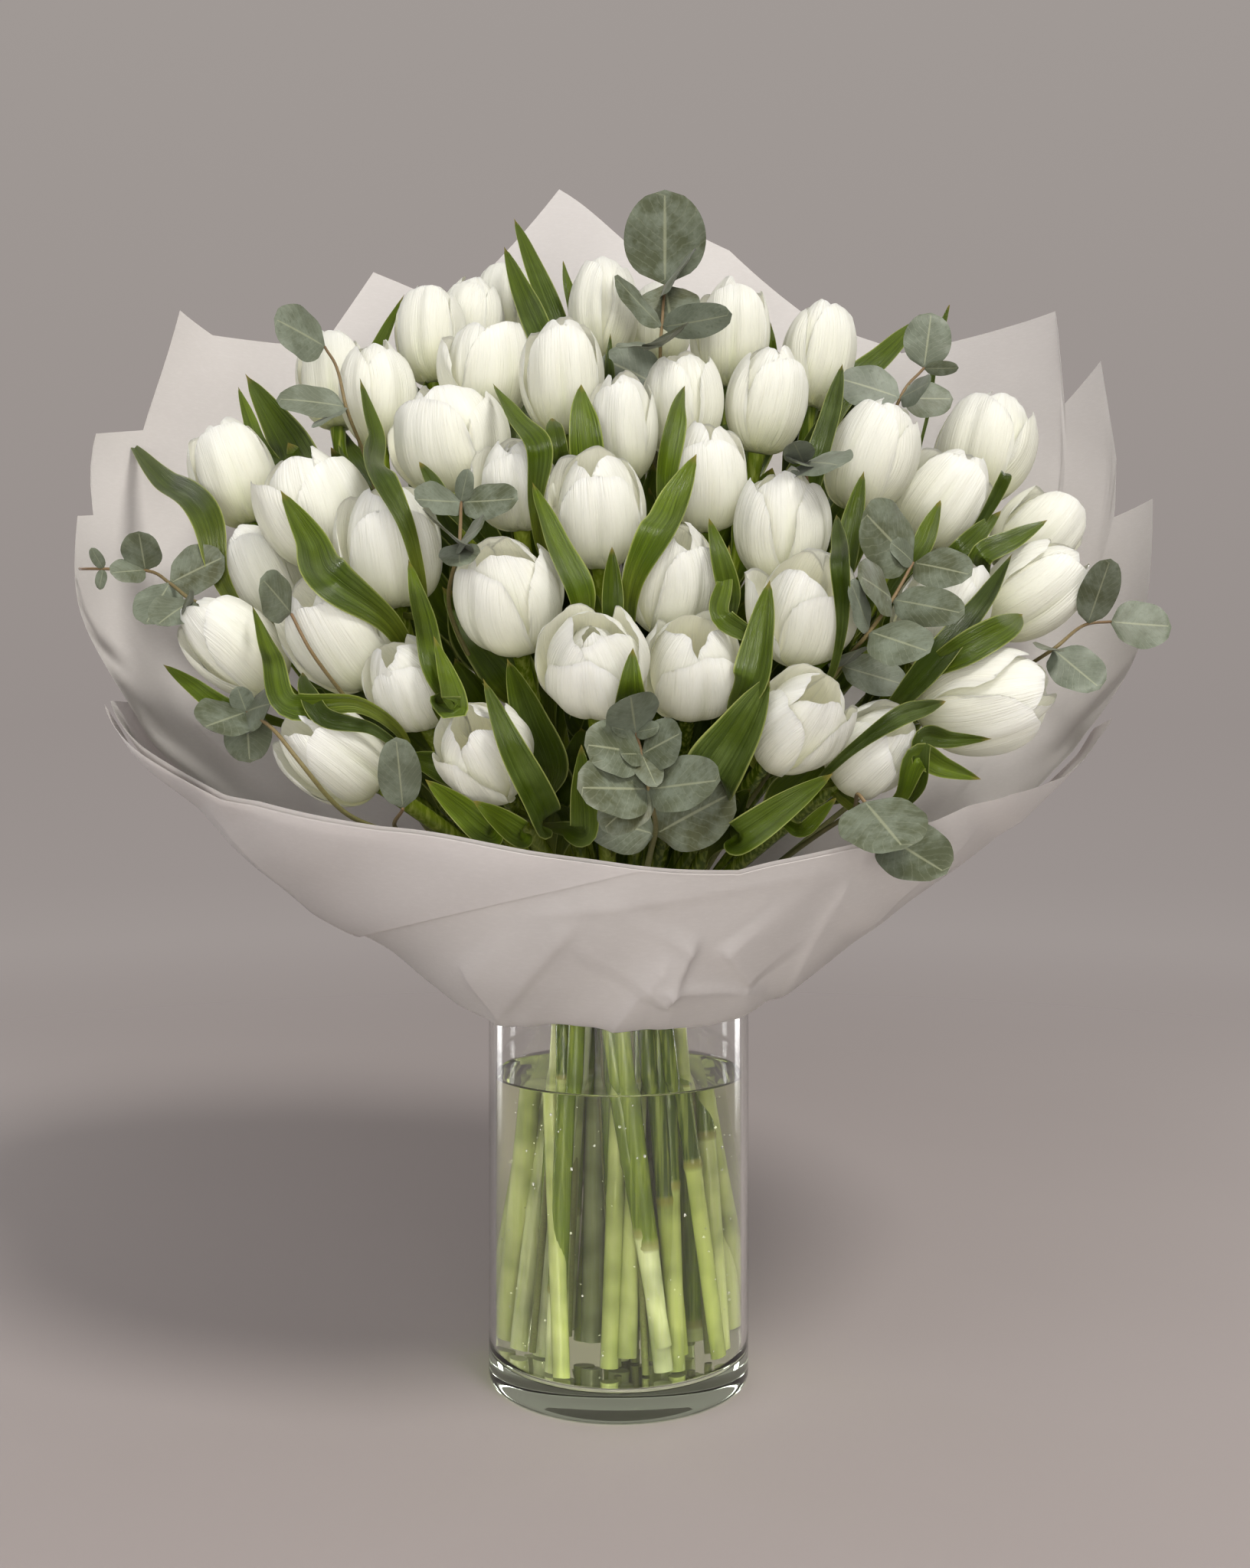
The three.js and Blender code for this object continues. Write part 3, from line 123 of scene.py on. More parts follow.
# Tulip leaves: u and v of the tip, u and v of the lowest place that shows, the widest width,
# -1 in front of the heads or 1 behind them, and the turn in degrees.
LEAVES = [
    [167, 574, 283, 692, 22, -1, 20],
    [320, 488, 410, 640, 38, 1, 10],
    [311, 505, 342, 590, 14, 1, 30],
    [528, 384, 446, 495, 18, 1, -30],
    [473, 498, 515, 640, 20, -1, 35],
    [541, 441, 562, 515, 16, 1, 30],
    [547, 603, 585, 655, 14, -1, 30],
    [379, 650, 455, 770, 26, -1, 15],
    [340, 700, 420, 790, 16, 1, 40],
    [533, 730, 575, 880, 18, -1, 35],
    [567, 757, 665, 885, 34, 1, 0],
    [671, 285, 732, 430, 18, 1, 20],
    [658, 322, 706, 438, 20, 1, 10],
    [743, 377, 757, 430, 13, 1, 10],
    [645, 505, 708, 600, 18, -1, 25],
    [721, 546, 730, 595, 13, -1, 0],
    [759, 503, 767, 600, 22, -1, 5],
    [894, 505, 872, 610, 16, -1, 25],
    [909, 595, 857, 700, 24, -1, -20],
    [970, 442, 952, 560, 15, 1, -25],
    [1100, 475, 1066, 600, 16, -1, -25],
    [840, 654, 815, 800, 17, 1, -20],
    [799, 714, 800, 795, 13, -1, 0],
    [695, 630, 760, 780, 20, -1, 35],
    [722, 705, 785, 810, 26, 1, 20],
    [925, 678, 952, 780, 15, -1, 20],
    [952, 712, 940, 810, 14, -1, 20],
    [1003, 760, 975, 890, 22, -1, -25],
    [826, 851, 822, 935, 18, -1, 0],
    [1004, 882, 925, 1020, 34, -1, -20],
    [566, 830, 602, 925, 17, -1, 20],
    [633, 887, 718, 1075, 20, -1, 25],
    [662, 860, 712, 1010, 26, 1, 10],
    [759, 972, 762, 1085, 16, -1, 0],
    [395, 878, 432, 935, 12, -1, 20],
    [400, 882, 525, 965, 26, 1, 10],
    [329, 790, 402, 925, 17, -1, 30],
    [213, 868, 290, 922, 13, -1, 30],
    [528, 985, 610, 1015, 22, 1, 0],
    [555, 1018, 640, 1088, 18, -1, 20],
    [618, 1046, 682, 1090, 16, -1, 20],
    [1088, 1010, 962, 1095, 20, -1, -15],
    [1235, 916, 1168, 935, 12, -1, 0],
    [1295, 965, 1195, 968, 13, -1, 10],
    [1281, 1018, 1190, 990, 16, -1, 10],
    [1335, 802, 1248, 852, 20, -1, -15],
    [1317, 725, 1205, 880, 18, -1, -30],
    [1366, 680, 1272, 732, 16, -1, -15],
    [1307, 667, 1255, 718, 15, -1, -15],
    [1228, 653, 1202, 715, 14, -1, -20],
    [1128, 615, 1097, 745, 18, -1, -25],
    [1092, 672, 1080, 750, 12, -1, -20],
    [1205, 412, 1100, 512, 22, 1, -20],
]

# Small leaves that only this scene has.
SMALL_LEAVES = [
    [735, 340, 748, 400, 10, 1, 30],
    [797, 435, 795, 520, 9, 1, 30],
    [1004, 418, 1012, 470, 8, 1, 0],
    [1092, 1042, 1052, 1082, 9, -1, 0],
    [1304, 620, 1290, 650, 9, -1, 0],
    [1240, 397, 1225, 440, 6, 1, 0],
]

# Eucalyptus: each branch forks into sprays. A spray has the joints of its twig, u and v from
# the lowest up, some with how much further forward they stand, and its leaves: which joint,
# u and v of the middle, length, width and turn.
BRANCHES = [
    [
        ([[862, 505], [862, 455], [864, 427], [868, 373]],
         [[3, 868, 316, 52, 47, 0], [3, 878, 362, 34, 34, 0], [3, 873, 400, 36, 36, 0],
          [2, 834, 398, 40, 24, 25], [2, 906, 421, 42, 20, 60], [1, 888, 448, 30, 28, 0],
          [1, 835, 452, 30, 18, 40], [0, 822, 484, 38, 34, 0]]),
    ],
    [
        ([[478, 600], [452, 532], [447, 497], [424, 453]],
         [[3, 398, 437, 36, 36, 0], [1, 411, 524, 38, 26, 15], [1, 430, 545, 28, 16, 40]]),
        ([[300, 800], [252, 785], [222, 762], [190, 745], [135, 743, 22], [104, 743, 26]],
         [[3, 186, 721, 24, 23, 0], [3, 172, 746, 22, 18, 0], [2, 263, 742, 34, 30, 0],
          [2, 207, 785, 32, 26, 0], [1, 224, 820, 34, 26, 0], [1, 266, 806, 36, 14, 55],
          [4, 128, 731, 14, 7, 0], [4, 132, 757, 12, 7, 0]]),
    ],
    [
        ([[420, 992], [372, 960], [322, 930]],
         [[2, 303, 937, 34, 30, 0], [2, 350, 920, 28, 28, 0], [2, 324, 963, 26, 24, 0],
          [2, 316, 914, 14, 12, 0]]),
        ([[430, 850], [394, 808]],
         [[1, 368, 786, 30, 24, 15]]),
        ([[520, 1085], [526, 1056]],
         [[1, 522, 1012, 38, 20, 15]]),
    ],
    [
        ([[588, 800], [604, 715], [602, 656]],
         [[2, 576, 655, 30, 22, 0], [2, 606, 636, 18, 10, 0], [2, 641, 655, 34, 22, 0],
          [1, 590, 700, 38, 30, 0], [1, 664, 691, 30, 22, 0], [1, 604, 738, 28, 20, 0]]),
    ],
    [
        ([[855, 1090], [847, 1031], [838, 985], [830, 957]],
         [[3, 816, 954, 16, 9, 0], [3, 843, 954, 15, 9, 0], [3, 827, 938, 30, 26, 0],
          [2, 806, 978, 32, 28, 0], [2, 862, 972, 26, 24, 0], [2, 826, 985, 14, 14, 0],
          [2, 846, 1003, 22, 13, 0], [1, 803, 1030, 40, 32, 0], [1, 818, 1055, 30, 22, 0],
          [1, 885, 1026, 44, 28, 0], [0, 808, 1076, 38, 30, 0], [0, 905, 1062, 44, 36, 0]]),
    ],
    [
        ([[1150, 590], [1175, 520], [1206, 481]],
         [[2, 1212, 440, 34, 28, 0], [2, 1228, 481, 20, 9, 50], [1, 1188, 514, 36, 18, 30],
          [1, 1135, 505, 36, 30, 0], [1, 1222, 521, 30, 24, 0]]),
        ([[1060, 690], [1050, 605]],
         [[1, 1017, 592, 40, 16, 50], [1, 1095, 622, 42, 32, 0], [1, 1022, 620, 30, 20, 0]]),
    ],
    [
        ([[1098, 870], [1135, 825], [1165, 783], [1192, 735]],
         [[3, 1158, 702, 44, 40, 0], [3, 1180, 722, 20, 14, 0], [3, 1226, 741, 34, 26, 0],
          [2, 1134, 763, 36, 30, 0], [2, 1200, 789, 44, 22, 15], [1, 1168, 836, 38, 28, 0],
          [1, 1114, 786, 32, 20, 30], [0, 1112, 850, 34, 20, 0], [0, 1152, 886, 36, 22, 0]]),
    ],
    [
        ([[1330, 878], [1375, 848], [1420, 815], [1450, 812]],
         [[2, 1432, 771, 42, 21, 0], [3, 1490, 816, 34, 30, 0], [1, 1403, 872, 34, 28, 0],
          [1, 1342, 842, 32, 16, 30]]),
        ([[1112, 1062], [1128, 1046], [1152, 1088]],
         [[1, 1145, 1066, 46, 40, 0], [2, 1188, 1112, 42, 32, 0]]),
    ],
]

# ---------------------------------------------------------------- small geometry


def lerp(a, b, share):
    """The place between two others, at a share of the way."""
    return a + (b - a) * share


def unit(vectors):
    """Each vector divided by its length."""
    return vectors / np.linalg.norm(vectors, axis=-1, keepdims=True)


def turned_about(vector, axis, angle):
    """A vector turned about a unit axis, by the sum of its three parts after the turn."""
    part = axis * np.dot(axis, vector) * (1 - math.cos(angle))
    return vector * math.cos(angle) + np.cross(axis, vector) * math.sin(angle) + part


def bezier(controls, share):
    """Points of a Bezier curve: the controls drawn together, pair by pair, at each share."""
    layers = [np.asarray(control, float) for control in controls]
    share = np.asarray(share, float)[..., None]
    while len(layers) > 1:
        layers = [a + (b - a) * share for a, b in zip(layers, layers[1:])]
    return layers[0]


def distance_along(path):
    """How far along a path each of its points lies."""
    return np.concatenate([[0], np.cumsum(np.linalg.norm(np.diff(path, axis=0), axis=1))])


def hermite(points, slopes, index, t, span=1.0):
    """The cubic from each indexed point to the next, by both places and both end slopes."""
    return ((2 * t**3 - 3 * t**2 + 1) * points[index] + (t**3 - 2 * t**2 + t) * span * slopes[index]
            + (3 * t**2 - 2 * t**3) * points[index + 1] + (t**3 - t**2) * span * slopes[index + 1])


def smooth_path(points, count):
    """A curve through points, evenly sampled: between two points a cubic whose end slopes
    come from the neighbours, weighed by the distances between the points."""
    points = np.asarray(points, float)
    at = distance_along(points)
    slopes = np.gradient(points, at, axis=0, edge_order=1)
    fine = np.linspace(0, at[-1], count * 4)
    index = np.clip(np.searchsorted(at, fine, side="right") - 1, 0, len(points) - 2)
    span = (at[index + 1] - at[index])[:, None]
    curve = hermite(points, slopes, index, (fine - at[index])[:, None] / span, span)
    length = distance_along(curve)
    even = np.linspace(0, length[-1], count)
    return np.stack([np.interp(even, length, curve[:, axis]) for axis in range(3)], axis=1)


def nearest_on(start, end, points):
    """The places of the stretch from start to end that lie nearest to points."""
    stretch = end - start
    share = np.clip((points - start) @ stretch / (stretch @ stretch), 0, 1)
    return start + share[..., None] * stretch


def stacked(*parts):
    """Three arrays or numbers, spread to one shape, as the parts of points or marks."""
    return np.stack(np.broadcast_arrays(*parts), axis=-1)


def about_axis(radius, angle, height):
    """Points at a distance from the vase's axis, an angle round it and a height."""
    return stacked(radius * np.cos(angle), radius * np.sin(angle), height)


def tangents_of(path):
    """The way that a path runs at each of its points."""
    return unit(np.gradient(path, axis=0))


# ---------------------------------------------------------------- surfaces

# A surface is a dictionary: points in mm, quads of point numbers, and a mark for each point,
# which the materials read: across from -1 to 1, along from 0 to 1, and a number of its own.


def outwards(points, quads):
    """Quads turned so that they face out of the closed form, which is so when the signed
    volume of the pyramids between them and its middle is positive."""
    middle = points[quads].mean(axis=1)
    area = np.cross(points[quads[:, 2]] - points[quads[:, 0]], points[quads[:, 3]] - points[quads[:, 1]])
    return quads if ((middle - points.mean(axis=0)) * area).sum() > 0 else quads[:, ::-1]


def numbered(points):
    """The numbers of a grid's points, row by row."""
    return np.arange(points[..., 0].size).reshape(points.shape[:2])


def quads_between(number):
    """A quad between every four neighbours of a grid of point numbers."""
    corners = (number[:-1, :-1], number[:-1, 1:], number[1:, 1:], number[1:, :-1])
    return np.stack(corners, axis=-1).reshape(-1, 4)


def surface(points, marks, ring=False):
    """A grid of points whose last column joins the first. In a ring the last row joins the
    first likewise. Otherwise the first and the last row are drawn into one point each."""
    number = np.pad(numbered(points), ((0, int(ring)), (0, 1)), mode="wrap")
    if not ring:
        number[0], number[-1] = number[0, 0], number[-1, 0]
    flat = points.reshape(-1, 3)
    quads = outwards(flat, quads_between(number))
    return {"points": flat, "quads": quads, "marks": marks.reshape(-1, 3)}


def shell(front, back, marks, poles=(), inside=0.0):
    """Two grids of points with the same border, closed along it: a thin lens. The rows in
    poles are drawn into one point each. The back's own number is raised by inside."""
    first = numbered(front)
    second = first + first.size
    for row in poles:
        first[row] = first[row, 0]
    second[[0, -1]] = first[[0, -1]]
    second[:, [0, -1]] = first[:, [0, -1]]
    points = np.concatenate([front.reshape(-1, 3), back.reshape(-1, 3)])
    quads = np.concatenate([quads_between(first), quads_between(second)[:, ::-1]])
    both = np.concatenate([marks.reshape(-1, 3), marks.reshape(-1, 3) + [0, 0, inside]])
    return {"points": points, "quads": outwards(points, quads), "marks": both}


def tube(path, radii, sides, seed=0.0, caps=0.0):
    """A ring of given radius carried along a path, each ring square to the path, closed at
    both ends by a point that stands out by caps."""
    path = np.asarray(path, float)
    along = tangents_of(path)
    first = -unit(np.cross(np.broadcast_to(TOWARDS_VIEWER, along.shape), along))
    second = np.cross(along, first)
    angle = np.linspace(0, 2 * np.pi, sides, endpoint=False)
    radii = np.broadcast_to(radii, len(path))
    ring = first[:, None] * np.cos(angle)[:, None] + second[:, None] * np.sin(angle)[:, None]
    points = path[:, None] + ring * radii[:, None, None]
    low, high = path[0] - along[0] * caps, path[-1] + along[-1] * caps
    points = np.concatenate([np.tile(low, (1, sides, 1)), points, np.tile(high, (1, sides, 1))])
    share = np.concatenate([[0], np.linspace(0, 1, len(path)), [1]])
    return surface(points, stacked(np.cos(angle)[None], share[:, None], seed))


def lathe(profile, segments=192):
    """A closed profile of radius and height, from the axis to the axis, turned about Z."""
    profile = np.asarray(profile, float)
    angle = np.linspace(0, 2 * np.pi, segments, endpoint=False)
    points = about_axis(profile[:, 0, None], angle, profile[:, 1, None])
    share = np.linspace(0, 1, len(profile))
    return surface(points, stacked(np.cos(angle)[None], share[:, None], 0.0))


SHARP_ANGLE = math.radians(55)


def piece(name, surfaces, material, node):
    """One object from surfaces: their points in metres, their quads with the repeated corners
    at poles left out, and their marks as a point attribute. It stands for a node of the frame."""
    counts = np.cumsum([0] + [len(part["points"]) for part in surfaces])
    points = np.concatenate([part["points"] for part in surfaces]) * MM
    marks = np.concatenate([part["marks"] for part in surfaces])
    quads = np.concatenate([part["quads"] + start for part, start in zip(surfaces, counts)])
    used, numbers = np.unique(quads, return_inverse=True)
    quads = numbers.reshape(quads.shape)
    keep = quads != np.roll(quads, 1, axis=1)
    whole = keep.sum(axis=1) >= 3
    quads, keep = quads[whole], keep[whole]
    totals = keep.sum(axis=1)
    mesh = bpy.data.meshes.new(name)
    mesh.vertices.add(len(used))
    mesh.vertices.foreach_set("co", points[used].ravel())
    mesh.loops.add(int(totals.sum()))
    mesh.loops.foreach_set("vertex_index", quads[keep].astype(np.int32))
    mesh.polygons.add(len(totals))
    mesh.polygons.foreach_set("loop_start", (np.cumsum(totals) - totals).astype(np.int32))
    mesh.polygons.foreach_set("use_smooth", np.ones(len(totals), bool))
    mesh.update(calc_edges=True)
    mesh.validate()
    mesh.set_sharp_from_angle(angle=SHARP_ANGLE)
    attribute = mesh.attributes.new("mark", "FLOAT_VECTOR", "POINT")
    attribute.data.foreach_set("vector", marks[used].astype(np.float32).ravel())
    mesh.materials.append(material)
    made = bpy.data.objects.new(name, mesh)
    bpy.context.scene.collection.objects.link(made)
    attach(made, "root")
    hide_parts(node)


# ---------------------------------------------------------------- where everything stands


def place_at(u, v, y):
    """The place of a pixel at a depth: the ray through it, followed until that depth."""
    scale = (y - EYE[1]) / FOCAL_PIXELS
    return np.array([EYE[0] + (u - CENTRE_U) * scale, y, EYE[2] + (HORIZON_V - v) * scale])


def place_on_dome(u, v, offset):
    """The place of a pixel on the dome of heads, which leans back as it rises and falls back
    at the sides, found by stepping between the depth and the place eight times."""
    point = place_at(u, v, 0)
    for _ in range(8):
        up = max(0.0, (point[2] - DOME_FOOT) / DOME_TALL)
        depth = DOME_FRONT + DOME_BACK * up**1.4 + DOME_SIDES * (point[0] / DOME_WIDE) ** 2
        point = place_at(u, v, depth + offset)
    return point


BALLS_AT = np.array([-0.13, 0.16])   # the two balls that fill a head, as shares of its length


def make_heads():
    """Heads on the dome, each nodding as its stem leans; those that would run into each other
    part along the line of sight, a third of what they lack at each of 160 steps."""
    table = np.array(HEADS, float)
    radius, length = table[:, 2] / 2, table[:, 3]
    lean = np.radians(table[:, 4])
    centre = np.array([place_on_dome(u, v, behind) for u, v, behind in table[:, [0, 1, 6]]])
    pairs = np.triu(np.ones((len(table), len(table)), bool), 1)
    for step in range(HEAD_STEPS + 1):
        away = centre - [0, 0, WAIST_Z]
        nod = np.arctan2(-away[:, 1], np.hypot(away[:, 0], away[:, 2])) * NOD_MORE + NOD_LEAST
        axis = np.stack([np.sin(lean) * np.cos(nod), -np.sin(nod), np.cos(lean) * np.cos(nod)], axis=1)
        balls = centre[:, None] + axis[:, None] * (BALLS_AT[:, None] * length[:, None, None])
        if step == HEAD_STEPS:
            break
        between = balls[:, None, :, None] - balls[None, :, None, :]
        nearest = np.linalg.norm(between, axis=-1).min(axis=(2, 3))
        short = np.maximum(1.02 * (radius[:, None] + radius[None]) + HEAD_PARTING - nearest, 0)
        nearer = np.where(centre[:, None, 1] < centre[None, :, 1], -1.0, 1.0)
        push = np.where(pairs, 0.3 * nearer * short, 0)
        depth = centre[:, 1] + push.sum(axis=1) - push.sum(axis=0)
        centre = np.array([place_at(u, v, y) for (u, v), y in zip(table[:, :2], depth)])
    heads = []
    for index in range(len(table)):
        base = centre[index] - axis[index] * length[index] / 2
        first = -unit(np.cross(TOWARDS_VIEWER, axis[index]))
        heads.append({"base": base, "axis": axis[index], "first": first,
                      "second": unit(np.cross(axis[index], first)), "radius": radius[index],
                      "length": length[index], "open": table[index, 5],
                      "turn": index * math.radians(137.5), "balls": balls[index]})
    return heads


GATHER_STEPS, DRAWN_STEPS, DRAWN_IN = 400, 200, 0.985


def gather_at_waist(aims, spacings):
    """Where each stem passes the waist: on the side that it leans to, drawn in to the middle
    and then apart until no two are closer than their spacing."""
    spots = []
    for aim in aims:
        away = unit(aim - np.array([0, 0, WAIST_Z]))
        spots.append([away[0] * WAIST_LEAN, (away[1] + 0.3) * WAIST_LEAN])
    count = len(spots)
    for step in range(GATHER_STEPS):
        if step < DRAWN_STEPS:
            for spot in spots:
                spot[0] *= DRAWN_IN
                spot[1] *= DRAWN_IN
        for i in range(count):
            a = spots[i]
            for j in range(i + 1, count):
                b = spots[j]
                x, y = b[0] - a[0], b[1] - a[1]
                spacing = spacings[i] + spacings[j]
                square = x * x + y * y
                if square < spacing * spacing:
                    distance = math.sqrt(square)
                    part = (spacing - distance) / 2 / distance
                    b[0] += x * part
                    b[1] += y * part
                    a[0] -= x * part
                    a[1] -= y * part
    return np.array(spots)


def below_waist(spot, z, index):
    """The stems spread and wind between the waist and the floor of the vase, each by its own
    share, so that they cross."""
    down = (WAIST_Z - z) / (WAIST_Z - VASE_BASE)
    share = (index * CROSSING_STEP) % 1
    turn = lerp(*FLOOR_TWIST, share) * down
    spread = lerp(1, lerp(*FLOOR_SPREAD, abs(2 * share - 1)), down)
    x = spot[0] * math.cos(turn) - spot[1] * math.sin(turn)
    y = spot[0] * math.sin(turn) + spot[1] * math.cos(turn)
    return np.array([x * spread, y * spread, z])


def cut_end(spot, index):
    """The lower end of a stem: most stand near the floor of the vase, a few well above it."""
    return below_waist(spot, CUT_END_Z + CUT_END_SPREAD * ((index * CUT_STEP) % 1) ** 2, index)


def stem_bow(head, spot):
    """The four controls of the bow from the waist to the head, which the stem meets square."""
    waist = below_waist(spot, WAIST_Z, 0)
    top = head["base"] - head["axis"] * GAP
    reach = np.linalg.norm(top - waist)
    leaving = unit(lerp(unit(top - waist), UP, 0.3))
    return [waist, waist + leaving * reach * 0.3, top - head["axis"] * reach * 0.28, top]


def blocked(middle, side, half):
    """Whether a stretch across a blade comes nearer to a ball of a head than it needs."""
    nearest = nearest_on(middle - side * half, middle + side * half, head_balls)
    return bool((np.linalg.norm(head_balls - nearest, axis=1) < head_needs).any())


THREAD_STEPS, STRAIGHTENED, PUSHED_OUT = 80, 0.05, 0.7


def thread_through(path, radius, centres, radii):
    """A way between fixed ends: again and again its inner points are drawn straight, and each
    stretch is pushed out of the balls that fill its place."""
    route = [np.array(point, float) for point in path]
    last = len(route) - 1
    needs = radii + radius + THREAD_CLEARANCE
    for _ in range(THREAD_STEPS):
        for index in range(1, last):
            route[index] = lerp(route[index], (route[index - 1] + route[index + 1]) / 2, STRAIGHTENED)
        for index in range(1, last + 1):
            nearest = nearest_on(route[index - 1], route[index], centres)
            short = needs - np.linalg.norm(nearest - centres, axis=1)
            for ball in np.nonzero(short > -3)[0]:
                stretch = route[index] - route[index - 1]
                part = (centres[ball] - route[index - 1]) @ stretch / (stretch @ stretch)
                part = min(max(part, 0), 1)
                away = route[index - 1] + part * stretch - centres[ball]
                distance = math.sqrt(away @ away)
                lack = needs[ball] - distance
                if lack > 0:
                    push = away * (PUSHED_OUT * lack / distance)
                    if index > 1:
                        route[index - 1] = route[index - 1] + push * (1 - part)
                    if index < last:
                        route[index] = route[index] + push * part
    return route


heads = make_heads()
branch_aims = [place_on_dome(*sprays[0][0][0][:2], 0) for sprays in BRANCHES]
twig_spacing = STEM_NEED + TWIG_RADIUS + 1.7 * GAP - STEM_SPACING / 2
spots = gather_at_waist(
    [head["base"] for head in heads] + branch_aims,
    [STEM_SPACING / 2] * len(heads) + [twig_spacing] * len(BRANCHES))
bows = [stem_bow(head, spot) for head, spot in zip(heads, spots)]
neck_radius = np.linalg.norm(spots, axis=1).max() + STEM_NEED + GAP

head_balls = np.concatenate([head["balls"] for head in heads])
head_radii = np.repeat([head["radius"] for head in heads], 2)
head_needs = 1.05 * head_radii + BLADE_CLEARANCE


def bow_stretches():
    """The bows of all the stems, each as three straight stretches."""
    for bow in bows:
        corners = bezier(bow, [0, 0.35, 0.75, 1])
        yield from zip(corners, corners[1:])


def stem_balls():
    """Balls along the bows of the stems, a stem's width apart, which twigs keep clear of."""
    balls = []
    for start, end in bow_stretches():
        steps = math.ceil(np.linalg.norm(end - start) / (2 * STEM_NEED))
        balls.append(start + (end - start) * (np.arange(steps) / steps)[:, None])
    return np.concatenate(balls)


wood = stem_balls()
obstacle_centres = np.concatenate([head_balls, wood])
obstacle_radii = np.concatenate([head_radii, np.full(len(wood), STEM_NEED)])

# ---------------------------------------------------------------- materials


def linear(code):
    """An sRGB hex value as linear red, green, blue and a whole alpha."""
    parts = [int(code[place:place + 2], 16) / 255 for place in (1, 3, 5)]
    return [part / 12.92 if part <= 0.04045 else ((part + 0.055) / 1.055) ** 2.4 for part in parts] + [1.0]


def new_material(name):
    """A material with no nodes in it yet."""
    material = bpy.data.materials.new(name)
    material.use_nodes = True
    material.node_tree.nodes.clear()
    return material


def node(material, kind, inputs=None, stops=(), out=0, **settings):
    """Adds a node with its settings. An input is another node's socket, a number, a vector or
    a hex colour; stops are a ramp's positions and colours, its two ends first. It gives one
    output, or all of them where out is None."""
    tree = material.node_tree
    made = tree.nodes.new("ShaderNode" + kind)
    for name, value in settings.items():
        setattr(made, name, value)
    for place, (position, code) in enumerate(stops):
        elements = made.color_ramp.elements
        element = elements[place] if place < 2 else elements.new(position)
        element.position, element.color = position, linear(code)
    for name, value in (inputs or {}).items():
        if isinstance(value, bpy.types.NodeSocket):
            tree.links.new(value, made.inputs[name])
        else:
            made.inputs[name].default_value = linear(value) if isinstance(value, str) else value
    return made.outputs if out is None else made.outputs[out]


WAX_IOR, GLASS_IOR, WATER_IOR = 1.45, 1.5, 1.333
RELIEF = ("Height", "Strength", "Distance")   # what stands out, how strongly, and how far in metres


def marked_material(name):
    """A new material, the marks of its piece, and their three parts."""
    made = new_material(name)
    mark = node(made, "Attribute", out="Vector", attribute_name="mark")
    return made, mark, node(made, "SeparateXYZ", {0: mark}, out=None)


def coats(made, tone, rows):
    """Colours laid over a tone one by one. A row has the pattern that a coat follows, the two
    values between which it comes in, how much of it lies at the one and at the other, and its
    colour."""
    for pattern, start, end, least, most, colour in rows:
        share = node(made, "MapRange", {0: pattern, 1: start, 2: end, 3: least, 4: most})
        tone = node(made, "Mix", {0: share, 6: tone, 7: colour}, out=2, data_type="RGBA")
    return tone


def dull(made, colour, relief, roughness):
    """A skin that only scatters light, with a relief."""
    bump = node(made, "Bump", dict(zip(RELIEF, relief)))
    skin = node(made, "BsdfPrincipled", {"Base Color": colour, "Normal": bump, "Roughness": roughness})
    node(made, "OutputMaterial", {0: skin}, out=None)
    return made


def thin_and_living(made, colour, through_colour, relief, roughness, through, sheen=0.0, painted_glow=0.0):
    """A thin living surface: a waxy skin with a relief, mixed with the light that comes through
    it; the last argument is a painted glow, light that the skin gives off of its own in the
    colour of the light through it, which stands in for the light that bounces to and fro inside
    a cup of such skins."""
    bump = node(made, "Bump", dict(zip(RELIEF, relief)))
    # Its emission is the painted glow: light that the skin gives off of its own, not from a lamp.
    skin = node(made, "BsdfPrincipled", {"Base Color": colour, "Normal": bump, "Roughness": roughness,
                                         "IOR": WAX_IOR, "Sheen Weight": sheen, "Sheen Roughness": 0.4,
                                         "Emission Color": through_colour, "Emission Strength": painted_glow})
    glow = node(made, "BsdfTranslucent", {"Color": through_colour, "Normal": bump})
    mixed = node(made, "MixShader", {0: through, 1: skin, 2: glow})
    node(made, "OutputMaterial", {0: mixed}, out=None)
    return made


